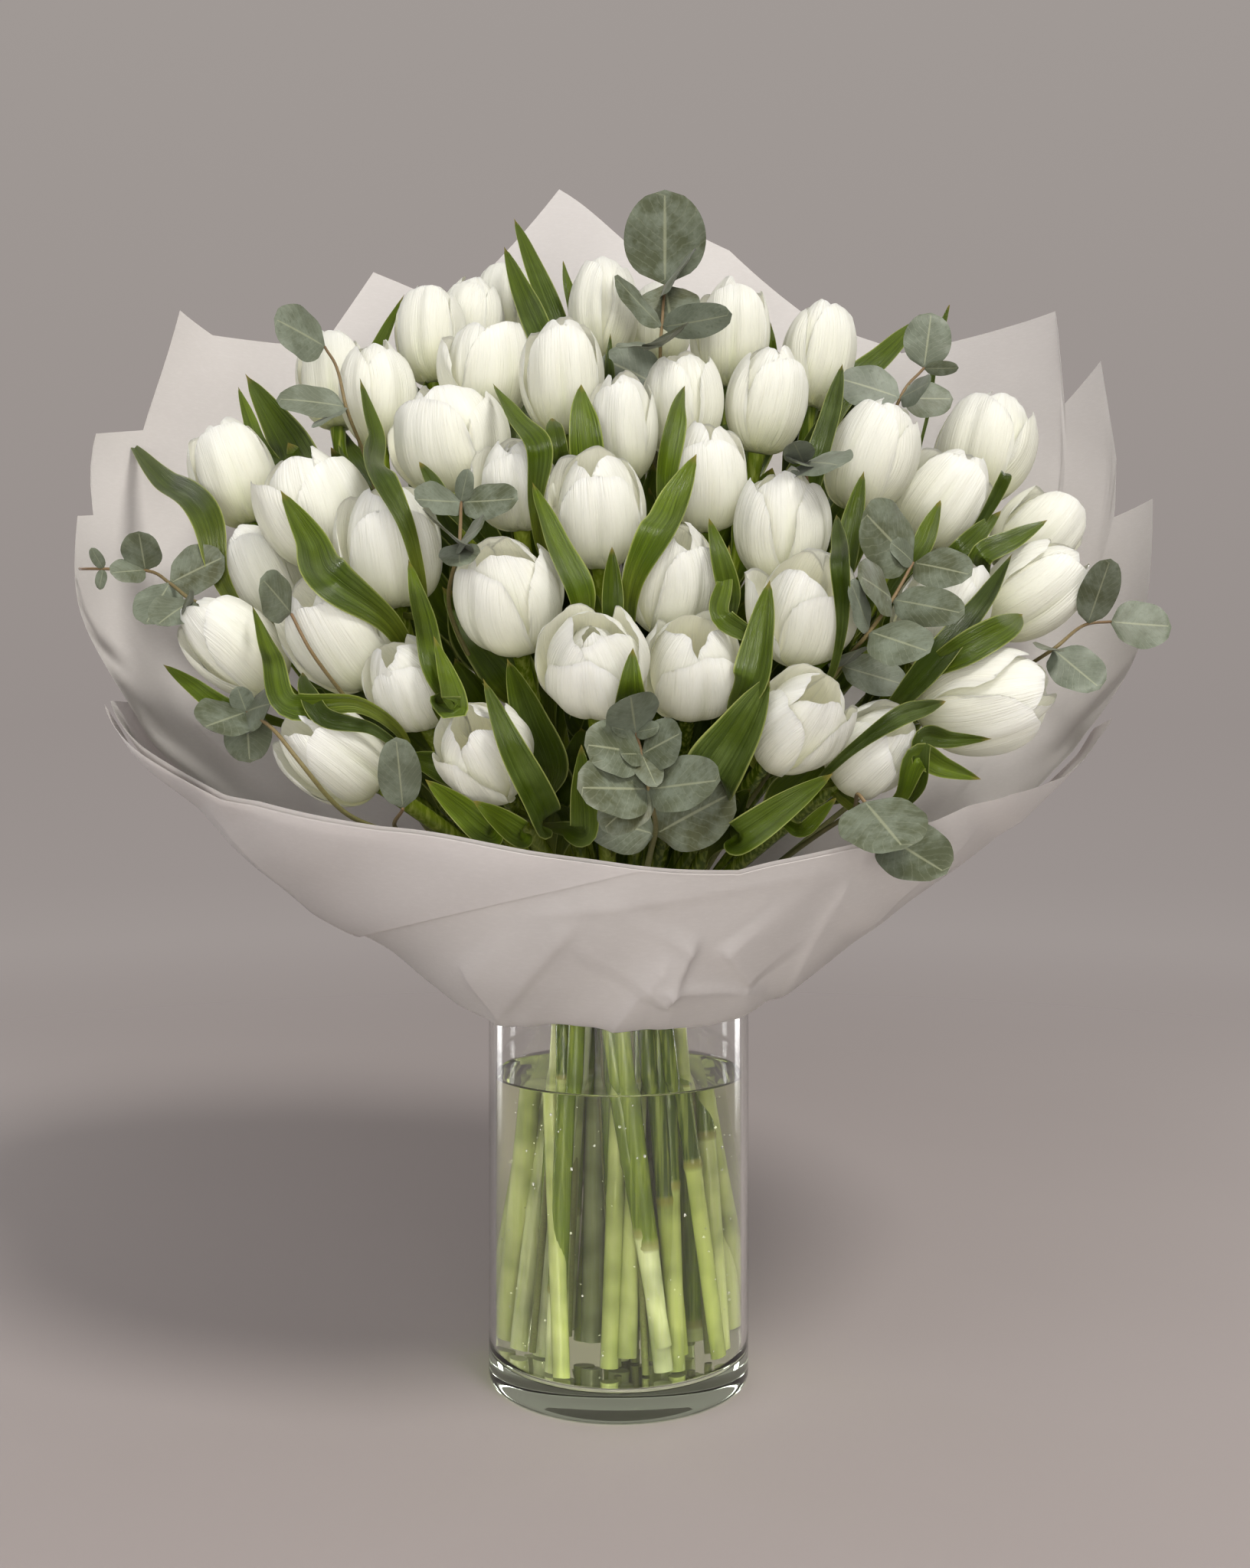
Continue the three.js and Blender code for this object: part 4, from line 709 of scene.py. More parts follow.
def petal_material():
    """Tulip petal, a living leaf of wax-covered cells: satin, thin enough to let light
    through, white, yellow-green at the foot, on the rib and inside, with veins a millimetre
    apart and creamy streaks 7 mm wide, both lengthwise. The faint light that the inside
    gives off stands in for what bounces between the petals of a cup."""
    made, mark, (across, along, own) = marked_material("tulip_petal_satin_white")
    drawn = node(made, "Mapping", {"Vector": mark, "Scale": (9.0, 0.9, 7.0)})
    veins = node(made, "TexNoise", {"Vector": drawn, "Scale": 3.0, "Detail": 3.0, "Roughness": 0.6})
    broad = node(made, "Mapping", {"Vector": mark, "Scale": (1.9, 0.7, 9.0)})
    streaks = node(made, "TexNoise", {"Vector": broad, "Scale": 2.0, "Detail": 2.0})
    outer = node(made, "ValToRGB", {0: along}, [(0.0, "#a8b85c"), (1.0, "#eef0f3"), (0.1, "#cdd592"),
                                                (0.26, "#e3e7c8"), (0.52, "#edefe8")])
    inner = node(made, "ValToRGB", {0: along}, [(0.0, "#e3da70"), (1.0, "#f9f9f6"), (0.2, "#f0eea8"),
                                                (0.5, "#f8f6d8"), (0.8, "#f9f9f0")])
    inside = node(made, "Math", {0: own, 1: 1.0}, operation="GREATER_THAN")
    tone = node(made, "Mix", {0: inside, 6: outer, 7: inner}, out=2, data_type="RGBA")
    tone = coats(made, tone, [(streaks, 0.45, 0.7, 0.0, 0.3, "#eeeee8")])
    middle = node(made, "Math", {0: across}, operation="ABSOLUTE")
    rib = node(made, "MapRange", {0: middle, 1: 0.0, 2: 0.14, 3: 0.6, 4: 0.0})
    fade = node(made, "MapRange", {0: along, 1: 0.1, 2: 0.85, 3: 1.0, 4: 0.0})
    rib = node(made, "Math", {0: rib, 1: fade}, operation="MULTIPLY")
    rib = node(made, "Math", {0: rib, 1: own}, operation="MULTIPLY", use_clamp=True)
    tone = node(made, "Mix", {0: rib, 6: tone, 7: "#dfe6b4"}, out=2, data_type="RGBA")
    colour = coats(made, tone, [(veins, 0.5, 0.72, 0.0, 0.42, "#d6d6ce")])
    # Painted glow: the inner faces give off a faint light of their own, at strength 0.1.
    painted_glow = node(made, "Math", {0: inside, 1: 0.1}, operation="MULTIPLY")
    return thin_and_living(made, colour, "#f8f7ea", (veins, 0.8, 0.0009), 0.38, 0.44, 0.05, painted_glow)


def leaf_material():
    """Tulip leaf: fleshy and deep green under a thin wax bloom, which dulls it to blue-green
    in patches of 2 cm, with parallel veins, a pale hard edge and a drying tip. Real veins are
    too fine to show, so they are drawn coarser: 1 to 1.5 mm apart."""
    made, mark, (across, along, own) = marked_material("tulip_leaf_waxy_green")
    drawn = node(made, "Mapping", {"Vector": mark, "Scale": (3.2, 0.3, 11.0)})
    veins = node(made, "TexNoise", {"Vector": drawn, "Scale": 3.5, "Detail": 4.0, "Roughness": 0.7})
    place = node(made, "TexCoord", out="Object")
    cloud = node(made, "TexNoise", {"Vector": place, "Scale": 48.0, "Detail": 3.0})
    deep = node(made, "ValToRGB", {0: along}, [(0.0, "#747e28"), (1.0, "#3c4c0a"), (0.35, "#2f3f06"),
                                               (0.6, "#202d03")])
    fresh = node(made, "ValToRGB", {0: along}, [(0.0, "#98a03a"), (1.0, "#6c801a"), (0.5, "#4c600c")])
    tone = node(made, "Mix", {0: own, 6: deep, 7: fresh}, out=2, data_type="RGBA")
    middle = node(made, "Math", {0: across}, operation="ABSOLUTE")
    colour = coats(made, tone, [(cloud, 0.46, 0.68, 0.0, 0.45, "#64753c"),
                                (veins, 0.45, 0.6, 0.0, 0.6, "#27350a"),
                                (middle, 0.9, 1.0, 0.0, 0.7, "#b0b868"),
                                (along, 0.955, 1.0, 0.0, 0.8, "#a08c48")])
    return thin_and_living(made, colour, "#8c9e12", (veins, 0.8, 0.001), 0.3, 0.18)


def stem_material():
    """Tulip stem: smooth and juicy, grey-green where the skin is whole, whitish below the ring
    where the lowest leaf was stripped off, with strands 2 mm apart and 6 cm long, clouds of
    3 cm and a papery scar; painted darker deeper in the bundle, by the distance from its
    middle, where the leaf sheaths crowd and little light comes. Here the mark across says how
    whole the skin is."""
    made, _, (skin, _, own) = marked_material("tulip_stem_juicy_green")
    place = node(made, "TexCoord", out="Object")
    tall = node(made, "Mapping", {"Vector": place, "Scale": (520.0, 520.0, 16.0)})
    strands = node(made, "TexNoise", {"Vector": tall, "Scale": 1.0, "Detail": 3.0})
    cloud = node(made, "TexNoise", {"Vector": place, "Scale": 30.0, "Detail": 2.0})
    pale = node(made, "ValToRGB", {0: own}, [(0.0, "#faf9ec"), (1.0, "#b2ba62"), (0.5, "#e7e8b6")])
    green = node(made, "ValToRGB", {0: own}, [(0.0, "#8c9c30"), (1.0, "#2b3b03"), (0.5, "#52660c")])
    tone = node(made, "Mix", {0: skin, 6: pale, 7: green}, out=2, data_type="RGBA")
    off = node(made, "Math", {0: skin, 1: 0.5}, operation="SUBTRACT")
    off = node(made, "Math", {0: off}, operation="ABSOLUTE")
    level = node(made, "Mapping", {"Vector": place, "Scale": (1.0, 1.0, 0.0)})
    from_axis = node(made, "VectorMath", {0: level}, out="Value", operation="LENGTH")
    _, _, height = node(made, "SeparateXYZ", {0: place}, out=None)
    bundle = node(made, "MapRange", {0: height, 1: 0.0, 2: 0.238, 3: 0.066, 4: 0.03})
    depth = node(made, "Math", {0: from_axis, 1: bundle}, operation="DIVIDE")
    colour = coats(made, tone, [(cloud, 0.42, 0.66, 0.0, 0.55, "#45560c"),
                                (strands, 0.45, 0.68, 0.0, 0.3, "#c6d062"),
                                (off, 0.2, 0.45, 0.5, 0.0, "#94843c"),
                                (depth, 0.4, 0.85, 0.6, 0.0, "#2c3d02")])
    return thin_and_living(made, colour, "#a9b420", (strands, 0.4, 0.0005), 0.22, 0.04)


def eucalyptus_material():
    """Eucalyptus leaf: leathery, grey-green under a matt wax that rubs off in patches of 17 mm,
    with specks of 2 mm, a thin pale midrib and side veins, about nine on each side, which
    leave it at an angle."""
    made, _, (across, along, own) = marked_material("eucalyptus_leaf_matt_wax")
    place = node(made, "TexCoord", out="Object")
    cloud = node(made, "TexNoise", {"Vector": place, "Scale": 60.0, "Detail": 5.0, "Roughness": 0.65})
    fine = node(made, "TexNoise", {"Vector": place, "Scale": 420.0, "Detail": 3.0})
    middle = node(made, "Math", {0: across}, operation="ABSOLUTE")
    slant = node(made, "Math", {0: middle, 1: -0.33, 2: along}, operation="MULTIPLY_ADD")
    slant = node(made, "Math", {0: cloud, 1: 0.2, 2: slant}, operation="MULTIPLY_ADD")
    slant = node(made, "Math", {0: slant, 1: 58.0}, operation="MULTIPLY")
    wave = node(made, "Math", {0: slant}, operation="SINE")
    side = node(made, "MapRange", {0: wave, 1: 0.86, 2: 1.0, 3: 0.0, 4: 0.2})
    tone = node(made, "ValToRGB", {0: own}, [(0.0, "#50523a"), (1.0, "#626a5c"), (0.3, "#4a5039"),
                                             (0.7, "#595f4a")])
    tone = coats(made, tone, [(cloud, 0.42, 0.62, 0.0, 0.66, "#7b8475"),
                              (fine, 0.55, 0.75, 0.0, 0.4, "#3c4230")])
    tone = node(made, "Mix", {0: side, 6: tone, 7: "#8c907a"}, out=2, data_type="RGBA")
    colour = coats(made, tone, [(middle, 0.02, 0.055, 0.6, 0.0, "#989c80")])
    height = node(made, "Math", {0: side, 1: -1.0, 2: cloud}, operation="MULTIPLY_ADD")
    return thin_and_living(made, colour, "#7c8a48", (height, 0.35, 0.0006), 0.5, 0.12, sheen=0.1)


def twig_material():
    """Eucalyptus twig: thin young bark with a grain of 1 mm, olive below and red-brown
    towards the tips."""
    made, _, (_, along, _) = marked_material("eucalyptus_twig_bark")
    place = node(made, "TexCoord", out="Object")
    grain = node(made, "TexNoise", {"Vector": place, "Scale": 900.0, "Detail": 3.0})
    tone = node(made, "ValToRGB", {0: along}, [(0.0, "#7d8a4f"), (1.0, "#86664a"), (0.6, "#7c7a4a")])
    colour = node(made, "Mix", {0: grain, 6: tone, 7: "#5c5138"}, out=2, data_type="RGBA")
    return dull(made, colour, (grain, 0.4, 0.0003), 0.62)


def tissue_material():
    """Florist's wrapping tissue, pressed from long fibres: matt, off-white and cloudy at 7 cm,
    with light showing through a single sheet. Real fibres are too fine to show, so they are
    drawn as strands of 1 by 4 mm."""
    made = new_material("wrapping_tissue_matt")
    place = node(made, "TexCoord", out="Object")
    drawn = node(made, "Mapping", {"Vector": place, "Scale": (240.0, 240.0, 800.0),
                                   "Rotation": (0.5, 0.3, 0.0)})
    fibre = node(made, "TexNoise", {"Vector": drawn, "Scale": 1.0, "Detail": 4.0, "Roughness": 0.7})
    cloud = node(made, "TexNoise", {"Vector": place, "Scale": 14.0, "Detail": 3.0})
    tone = node(made, "Mix", {0: cloud, 6: "#d8d5d3", 7: "#dfdddb"}, out=2, data_type="RGBA")
    colour = coats(made, tone, [(fibre, 0.45, 0.75, 0.0, 0.3, "#f4f2f1")])
    return thin_and_living(made, colour, "#efeceb", (fibre, 0.2, 0.0003), 0.72, 0.42)


def clear_material(name, tint, ior, ripple, shade, depth_tint, density):
    """A clear body that bends light by its index, takes a little of it on the way through and
    lets the lamps' light pass, so that what stands in it is lit; ripple is how uneven its
    surface is, in swells of 11 cm round it and half a metre up it."""
    made = new_material(name)
    place = node(made, "TexCoord", out="Object")
    drawn = node(made, "Mapping", {"Vector": place, "Scale": (9.0, 9.0, 2.0)})
    uneven = node(made, "TexNoise", {"Vector": drawn, "Scale": 1.0, "Detail": 1.0})
    bump = node(made, "Bump", {"Height": uneven, "Strength": ripple, "Distance": 0.001})
    body = node(made, "BsdfPrincipled", {"Base Color": tint, "Normal": bump, "Roughness": 0.0, "IOR": ior,
                                         "Transmission Weight": 1.0})
    clear = node(made, "BsdfTransparent", {0: shade})
    shadow = node(made, "LightPath", out="Is Shadow Ray")
    mixed = node(made, "MixShader", {0: shadow, 1: body, 2: clear})
    inside = node(made, "VolumeAbsorption", {"Color": depth_tint, "Density": density})
    node(made, "OutputMaterial", {0: mixed, 1: inside}, out=None)
    return made


def grain_material(name, dark, light, scale, roughness, strength):
    """A small part with a fine two-tone grain, so many of them to a metre: pollen dust, sap or
    plant hairs."""
    made = new_material(name)
    place = node(made, "TexCoord", out="Object")
    grain = node(made, "TexNoise", {"Vector": place, "Scale": scale, "Detail": 3.0})
    colour = node(made, "ValToRGB", {0: grain}, [(0.3, dark), (0.7, light)])
    return dull(made, colour, (grain, strength, 0.0003), roughness)


PETAL = petal_material()
LEAF = leaf_material()
STEM = stem_material()
EUCALYPTUS = eucalyptus_material()
TWIG = twig_material()
TISSUE = tissue_material()
# Pressed soda-lime glass: clear and smooth, faintly green in its thick base.
GLASS = clear_material("soda_lime_glass_pressed", "#ffffff", GLASS_IOR, 0.15, "#e6ece0", "#c3d2b6", 9.0)
# Water from the tap with a little sap in it: a yellow-green breath.
WATER = clear_material("water_with_a_little_sap", "#ffffff", WATER_IOR, 0.05, "#eef2d8", "#e9f29e", 5.0)
# Air on the stems and the glass: each bubble is a small bright lens. It bends light more than
# air in water does, so that it shows.
BUBBLE = clear_material("air_bubble_in_water", "#ffffff", 1.9, 0.0, "#ffffff", "#ffffff", 0.0)
# Jute, spun: dull, straw-coloured and hairy, with a grain of 0.7 mm.
TWINE = grain_material("jute_twine_spun", "#9b8258", "#d6c398", 1500.0, 0.9, 0.7)
# Anthers full of pollen: deep yellow dust, in lumps of 0.4 mm.
POLLEN = grain_material("tulip_anther_pollen", "#c9a93a", "#eeda7a", 2500.0, 0.7, 0.5)
# Pistil: pale green, sticky with sap, with a grain of 1 mm.
PISTIL = grain_material("tulip_pistil_sappy", "#bcc66c", "#e6e6ac", 900.0, 0.35, 0.3)

# ---------------------------------------------------------------- tulip blooms

PETAL_ROWS, PETAL_COLUMNS = 29, 21
PETAL_THICKNESS = 0.8
FOOT_SHARE, RIB_REACH = 0.08, 0.935   # how far out the rib starts, and the most that it reaches
WIDEST_ARC = math.radians(72)
# The whorls of a bloom from the outside: how far out a petal stands, how wide its top lies when
# the bloom is shut and when it is open, its half-width, all as shares of the head's radius, and
# its length as a share of the head's.
WHORLS = [(1.0, 0.56, 0.96, 1.1, 0.96), (0.89, 0.26, 0.56, 1.04, 1.04), (0.7, 0.1, 0.24, 0.96, 0.97)]
FULL_BLOOMS = (6, 10, 11, 13, 14, 20, 34, 35)   # heads with a third whorl
OPEN_HEARTS = (15, 18, 22, 23, 27, 28)           # heads that show their pistil and stamens


def petal(head, angle, whorl, opened, chance):
    """One petal on a grid of along s and across t. Each column runs to its own height on the
    lobed and rippled top edge. The rib lies in the plane through the head's axis at the given
    angle and follows a Bezier curve of radius and height, from bud to open; the half-width
    grows to the middle and narrows a little above; across, the petal is an arc whose radius
    lies between the head's and the rib's, with one edge over its neighbour and the other
    under, and it sways to one side. Soft folds run lengthwise, the rim is ruffled, and the
    inside lies a petal's thickness nearer the axis."""
    stands, shut, wide, half_share, long_share = whorl
    radius, length = head["radius"], head["length"] * long_share * chance.uniform(0.95, 1.03)
    own, phase = chance.uniform(), chance.uniform(0, 6, 6)
    s, t = np.meshgrid(np.linspace(0, 1, PETAL_ROWS) ** 0.88, np.linspace(-1, 1, PETAL_COLUMNS),
                       indexing="ij")
    flare, near = max(0.0, opened - 1), min(opened, 1.0)
    skew = chance.uniform(-0.16, 0.16)
    lobe = np.sqrt(np.maximum(1 - (t + skew * (1 - t**2)) ** 2, 0))
    top = (1 - 0.34 * (1 - lobe) + 0.012 * np.sin(5.5 * t + phase[0])
           + 0.004 * np.sin(13 * t + phase[1]) + 0.008 * np.exp(-(t / 0.12) ** 2))
    a = s * top
    shoulder = (lerp(1.32, 1.14, near) + flare * 0.5, lerp(0.74, 0.58, near))
    tip = (lerp(shut, wide, near) + flare * 1.2, lerp(1.03, 0.98, near) - flare * 0.45)
    rib = bezier([(FOOT_SHARE, 0), (1.04, 0.0), shoulder, tip], a)
    r, z = rib[..., 0] * radius * stands / RIB_REACH, rib[..., 1] * length
    low, high = 1 - np.minimum(a / 0.5, 1), np.maximum(a - 0.5, 0) / 0.5
    half = (half_share * chance.uniform(0.9, 1.06) * radius * (1 - 0.68 * low**2)
            * (1 - (0.14 + 0.14 * near) * high**2))
    bend = 0.72 * r + 0.26 * radius
    turn = np.minimum(half / bend, WIDEST_ARC) * t + chance.uniform(-0.16, 0.16) * a**2
    out, aside = r - bend + bend * np.cos(turn), bend * np.sin(turn)
    belly = np.sin(np.pi * s)
    groove = 1.2 * np.exp(-(t / 0.09) ** 2) * belly
    folds = (1.1 * np.sin(7.5 * t + phase[2]) + 0.45 * np.sin(15 * t + phase[3])) * belly**0.7 * s
    wave = (0.4 + 1.5 * near) * np.abs(t) ** 3 * s * np.sin(2 * np.pi * (1.7 * s + own * 3) + np.sign(t))
    lip = (0.6 + 1.1 * near) * s**10 * np.sin(4.5 * t + phase[4]) + 0.3 * s**14 * np.sin(17 * t + phase[5])
    out = out - groove + folds + wave + lip + 1.7 * t * np.minimum(1, 4 * s)

    def placed(out):
        across = (out * math.cos(angle) - aside * math.sin(angle))[..., None]
        over = (out * math.sin(angle) + aside * math.cos(angle))[..., None]
        return head["base"] + head["axis"] * z[..., None] + head["first"] * across + head["second"] * over

    inside = out - PETAL_THICKNESS * (1 - t**6) * (1 - s**12) * np.minimum(1, 10 * s)
    return shell(placed(out), placed(inside), stacked(t, a, own), inside=1.0)


# Petals that stand off from their head: the head, the way they point in the front view in
# degrees from the right, counter-clockwise, and how far they open beyond the others.
LOOSE_PETALS = [(9, -50, 0.5), (10, 150, 0.8), (6, 30, 0.35), (13, 170, 0.35), (13, 50, 0.3),
                (18, 200, 0.45), (22, -70, 0.5), (27, 170, 0.3), (30, -60, 0.35), (20, 120, 0.25),
                (28, 20, 0.3), (35, 150, 0.35), (33, -20, 0.25)]
# For each whorl: how far it is turned from the outer one, and how much of the head's opening
# it takes part in.
WHORL_TURNS, WHORL_OPENING = (0, 1.047, 0.55), (0.95, 0.75, 0.6)


def pointing(head, angle):
    """The way out of a head's axis at an angle round it."""
    return head["first"] * math.cos(angle) + head["second"] * math.sin(angle)


def bloom(head, number):
    """Three outer petals, one of them roughly to the front, three inner ones between them, and
    in the fullest heads three more, which curl over the middle."""
    chance = np.random.default_rng(number)
    start = -math.pi / 2 + chance.normal(0, 0.5)
    parts = []
    loose = [(math.radians(way), more) for index, way, more in LOOSE_PETALS if index == number]
    for step in range(9 if number in FULL_BLOOMS else 6):
        order = step // 3
        angle = start + (step % 3) * 2 * math.pi / 3 + WHORL_TURNS[order] + chance.normal(0, 0.07)
        opened = head["open"] * chance.uniform(0.75, 1.2) * WHORL_OPENING[order] + chance.uniform(-0.03, 0.08)
        for way, more in loose:
            if order == 0 and pointing(head, angle) @ np.array([math.cos(way), 0, math.sin(way)]) > 0.5:
                opened += more
        parts.append(petal(head, angle, WHORLS[order], max(opened, 0.02), chance))
    return parts


def heart_of(head, number):
    """The pistil, a three-lobed column, and six stamens round it, each an anther on a thread,
    as tubes of changing radius."""
    chance = np.random.default_rng(100 + number)
    base, axis = head["base"], head["axis"]
    tall = head["length"] * 0.5
    share = np.linspace(0.02, 1, 12)
    column = base + axis * (share * tall)[:, None]
    girth = np.where(share > 0.86, 3.6, 2.9) * np.sin(np.pi * np.minimum(share + 0.12, 0.93)) ** 0.35
    pistil = [tube(column, girth, 10)]
    for lobe in range(3):
        way = pointing(head, head["turn"] + lobe * 2 * math.pi / 3)
        rise = np.array([0, 0.9, 1.0, 0.3, -0.9])[:, None]
        path = column[-1] + way * np.linspace(0, 4.2, 5)[:, None] + axis * rise
        pistil.append(tube(path, [1.4, 1.8, 1.8, 1.5, 0.9], 8))
    anthers = []
    for index in range(6):
        way = pointing(head, head["turn"] + index * math.pi / 3 + chance.normal(0, 0.12))
        step = np.linspace(0, 1, 10)
        path = base + axis * (3 + step * tall * 0.92)[:, None] + way * (3 + 6.5 * step**0.7)[:, None]
        girth = np.where(step < 0.5, 0.7, 1.0 + 0.8 * np.sin(np.pi * (step - 0.5) * 2))
        anthers.append(tube(path, girth, 8))
    return pistil, anthers


for index, head in enumerate(heads):
    label = f"{index + 1:02d}"
    stands_for = f"tulip_bloom_{label}"
    piece(f"petals_{label}", bloom(head, index + 1), PETAL, stands_for)
    if index + 1 in OPEN_HEARTS:
        pistil, anthers = heart_of(head, index + 1)
        piece(f"pistil_{label}", pistil, PISTIL, stands_for)
        piece(f"stamens_{label}", anthers, POLLEN, stands_for)

# ---------------------------------------------------------------- tulip stems and leaves


RING_HEIGHT, RING_LENGTH = 0.45, 2.4
SKIN_THICKNESS, SKIN_EDGE = 0.12, 7.0     # of the outer skin, and how long it takes to end
NECK_SWELLING, NECK_LENGTH = 0.8, 5.0


def stem(index, spot, bow):
    """A round stem: straight from its cut end to the waist, then along its bow to the head,
    with a swelling under the head and two rings where leaves were stripped off. Above one of
    the two the skin is whole and a little thicker."""
    chance = np.random.default_rng(200 + index)
    low = cut_end(spot, index)
    straight = low + (bow[0] - low) * np.linspace(0, 1, 60)[:-1, None]
    upper = bezier(bow, np.linspace(0, 1, 60))
    path = smooth_path(np.concatenate([straight[:-6], upper[3:]]), 140)
    length = np.linalg.norm(np.diff(path, axis=0), axis=1).sum()
    run = np.linspace(0, length, len(path))
    rings = np.sort(chance.uniform(8, 215, 2))
    radii = STEM_RADIUS * (1.0 - 0.1 * run / length)
    radii = radii + NECK_SWELLING * np.exp(-((length - run) / NECK_LENGTH) ** 2)
    for height in rings:
        radii = radii + RING_HEIGHT * np.exp(-((run - height) / RING_LENGTH) ** 2)
    stripped = rings[chance.integers(0, 2)]
    skin = np.clip((run - stripped) / SKIN_EDGE + 0.5, 0, 1)
    radii = (radii + SKIN_THICKNESS * skin) * chance.uniform(0.86, 1.02)
    made = tube(path, radii, 16, seed=chance.uniform())
    made["marks"][:, 0] = np.interp(made["marks"][:, 1] * length, run, skin)
    return made


BLADE_SHARES = np.array([1.0, 0.68, 0.0])   # the width at a leaf's foot, middle and tip
LEAF_FOLD, LEAF_THICKNESS = 0.16, 1.3


def leaf_root(foot):
    """The point of the stems nearest to a place a quarter of the way from the foot to the tie."""
    wanted = lerp(foot, np.array([0, 0, WAIST_Z]), 0.25)
    points = [nearest_on(start, end, wanted) for start, end in bow_stretches()]
    return min(points, key=lambda point: np.linalg.norm(point - wanted))


BLADE_STEP = 1.5


def clear_blade(blade, side, halves, way):
    """A blade's middle and tip move along Y, towards the viewer or away, until no head is in
    its way."""
    for _ in range(40):
        moved = False
        for index in (1, 2):
            for share in (0, 0.25, 0.5, 0.75, 1):
                middle = lerp(blade[index - 1], blade[index], share)
                half = lerp(halves[index - 1], halves[index], share) + 1e-6
                if blocked(middle, side, half):
                    blade[index, 1] += way * BLADE_STEP * share
                    blade[index - 1, 1] += way * BLADE_STEP * (1 - share)
                    moved = True
        if not moved:
            break
    return blade


def leaf(tip, foot, width, way, turn, chance, rows=48, columns=15):
    """A tulip leaf: a smooth way from the stem, between the heads, to its foot, middle and
    tip. Its half-width swells from the sheath to the foot and narrows in a sine to the tip;
    the blade folds along the rib and waves at the edges, and its back lies a leaf's thickness
    behind."""
    halves = BLADE_SHARES * width / 2
    facing = turned_about(TOWARDS_VIEWER, UP, math.radians(turn))
    side = unit(np.cross(facing, unit(tip - foot)))
    blade = clear_blade(np.array([foot, lerp(foot, tip, 0.5), tip]), side, halves, way)
    root = leaf_root(blade[0])
    hidden = [lerp(root, blade[0], share) for share in (0, 0.4, 0.75, 1)]
    corners = thread_through(hidden, 4, head_balls, head_radii) + list(blade[1:])
    path = smooth_path(corners, rows)
    chord = distance_along(corners)
    at = np.linspace(0, 1, len(path))
    foot_at = chord[3] / chord[-1]
    swelling = np.interp(at, chord[:4] / chord[-1], [0.3, 0.3, 0.5, 1.0])
    left = np.clip((1 - at) / (1 - foot_at), 0, 1)
    half = np.where(at < foot_at, swelling, np.sin(np.pi / 2 * left**0.85) ** 0.9)
    half = np.convolve(np.pad(half, 3, mode="edge"), np.ones(7) / 7, mode="valid")
    half = half * np.minimum(1, left * 12)
    half = half * width / 2
    tangents = tangents_of(path)
    twist = chance.uniform(-0.5, 0.5) * np.clip((at - foot_at) / (1 - foot_at), 0, 1)[:, None] ** 2
    sides = unit(np.cross(facing, tangents))
    normals = np.cross(tangents, sides)
    sides, normals = (sides * np.cos(twist) + normals * np.sin(twist),
                      normals * np.cos(twist) - sides * np.sin(twist))
    t = np.linspace(-1, 1, columns)
    across = half[:, None] * t
    fold = -3.6 * LEAF_FOLD * half[:, None] * (1 - np.abs(t) ** 1.12)
    phase = chance.uniform(0, 6)
    wave = (0.1 * half[:, None] * t**2 * np.sin(2 * np.pi * (3.0 * at[:, None] + 0.1 * t) + phase)
            * np.minimum(1, left * 3)[:, None])
    thick = LEAF_THICKNESS / 2 * (1 - t**4) * np.minimum(1, (half / 3))[:, None]

    def placed(lift):
        return path[:, None] + sides[:, None] * across[..., None] + normals[:, None] * lift[..., None]

    marks = stacked(t[None], at[:, None], chance.uniform())
    return shell(placed(fold + wave + thick), placed(fold + wave - thick), marks, poles=[-1])


# How far a leaf's tip and foot lie behind the dome, and its width, as a share of the table's.
LEAVES_BEFORE, LEAVES_BEHIND, BLADE_SLIMMED = (-24, -10), (4, 14), 0.86


def shown_leaf(row, number):
    """A leaf of the table, a little before or behind the dome of heads."""
    tip_u, tip_v, foot_u, foot_v, width, way, turn = row
    tip_off, foot_off = LEAVES_BEFORE if way < 0 else LEAVES_BEHIND
    tip = place_on_dome(tip_u, tip_v, tip_off)
    foot = place_on_dome(foot_u, foot_v, foot_off)
    return leaf(tip, foot, BLADE_SLIMMED * width, way, turn, np.random.default_rng(300 + number))


def inner_leaves():
    """The leaves that fill the depth between the heads: their tips on a jittered grid of the
    front view, inside the oval of the bouquet and well behind the dome of heads."""
    chance = np.random.default_rng(7)
    made = []
    for row in np.arange(470, 1060, 62):
        for column in np.arange(290, 1400, 78):
            u, v = column + chance.uniform(-25, 25), row + chance.uniform(-20, 20)
            deep, long, broad, turned = chance.uniform(0, 1, 4)
            if ((u - 815) / 520) ** 2 + ((v - 740) / 330) ** 2 > 1:
                continue
            tip = place_on_dome(u, v, 26 + 24 * deep)
            foot = lerp(tip, np.array([0, 0, WAIST_Z]), (70 + 25 * long) / np.linalg.norm(tip))
            made.append(leaf(tip, foot, 20 + 14 * broad, 1, -40 + 80 * turned, chance, rows=40, columns=9))
    return made


piece("tulip_stems", [stem(index, *parts) for index, parts in enumerate(zip(spots, bows))],
      STEM, "tulip_stems_and_leaves")
piece("tulip_leaves", [shown_leaf(row, number) for number, row in enumerate(LEAVES + SMALL_LEAVES)],
      LEAF, "tulip_stems_and_leaves")
piece("tulip_leaves_inner", inner_leaves(), LEAF, "tulip_stems_and_leaves")

# ---------------------------------------------------------------- eucalyptus


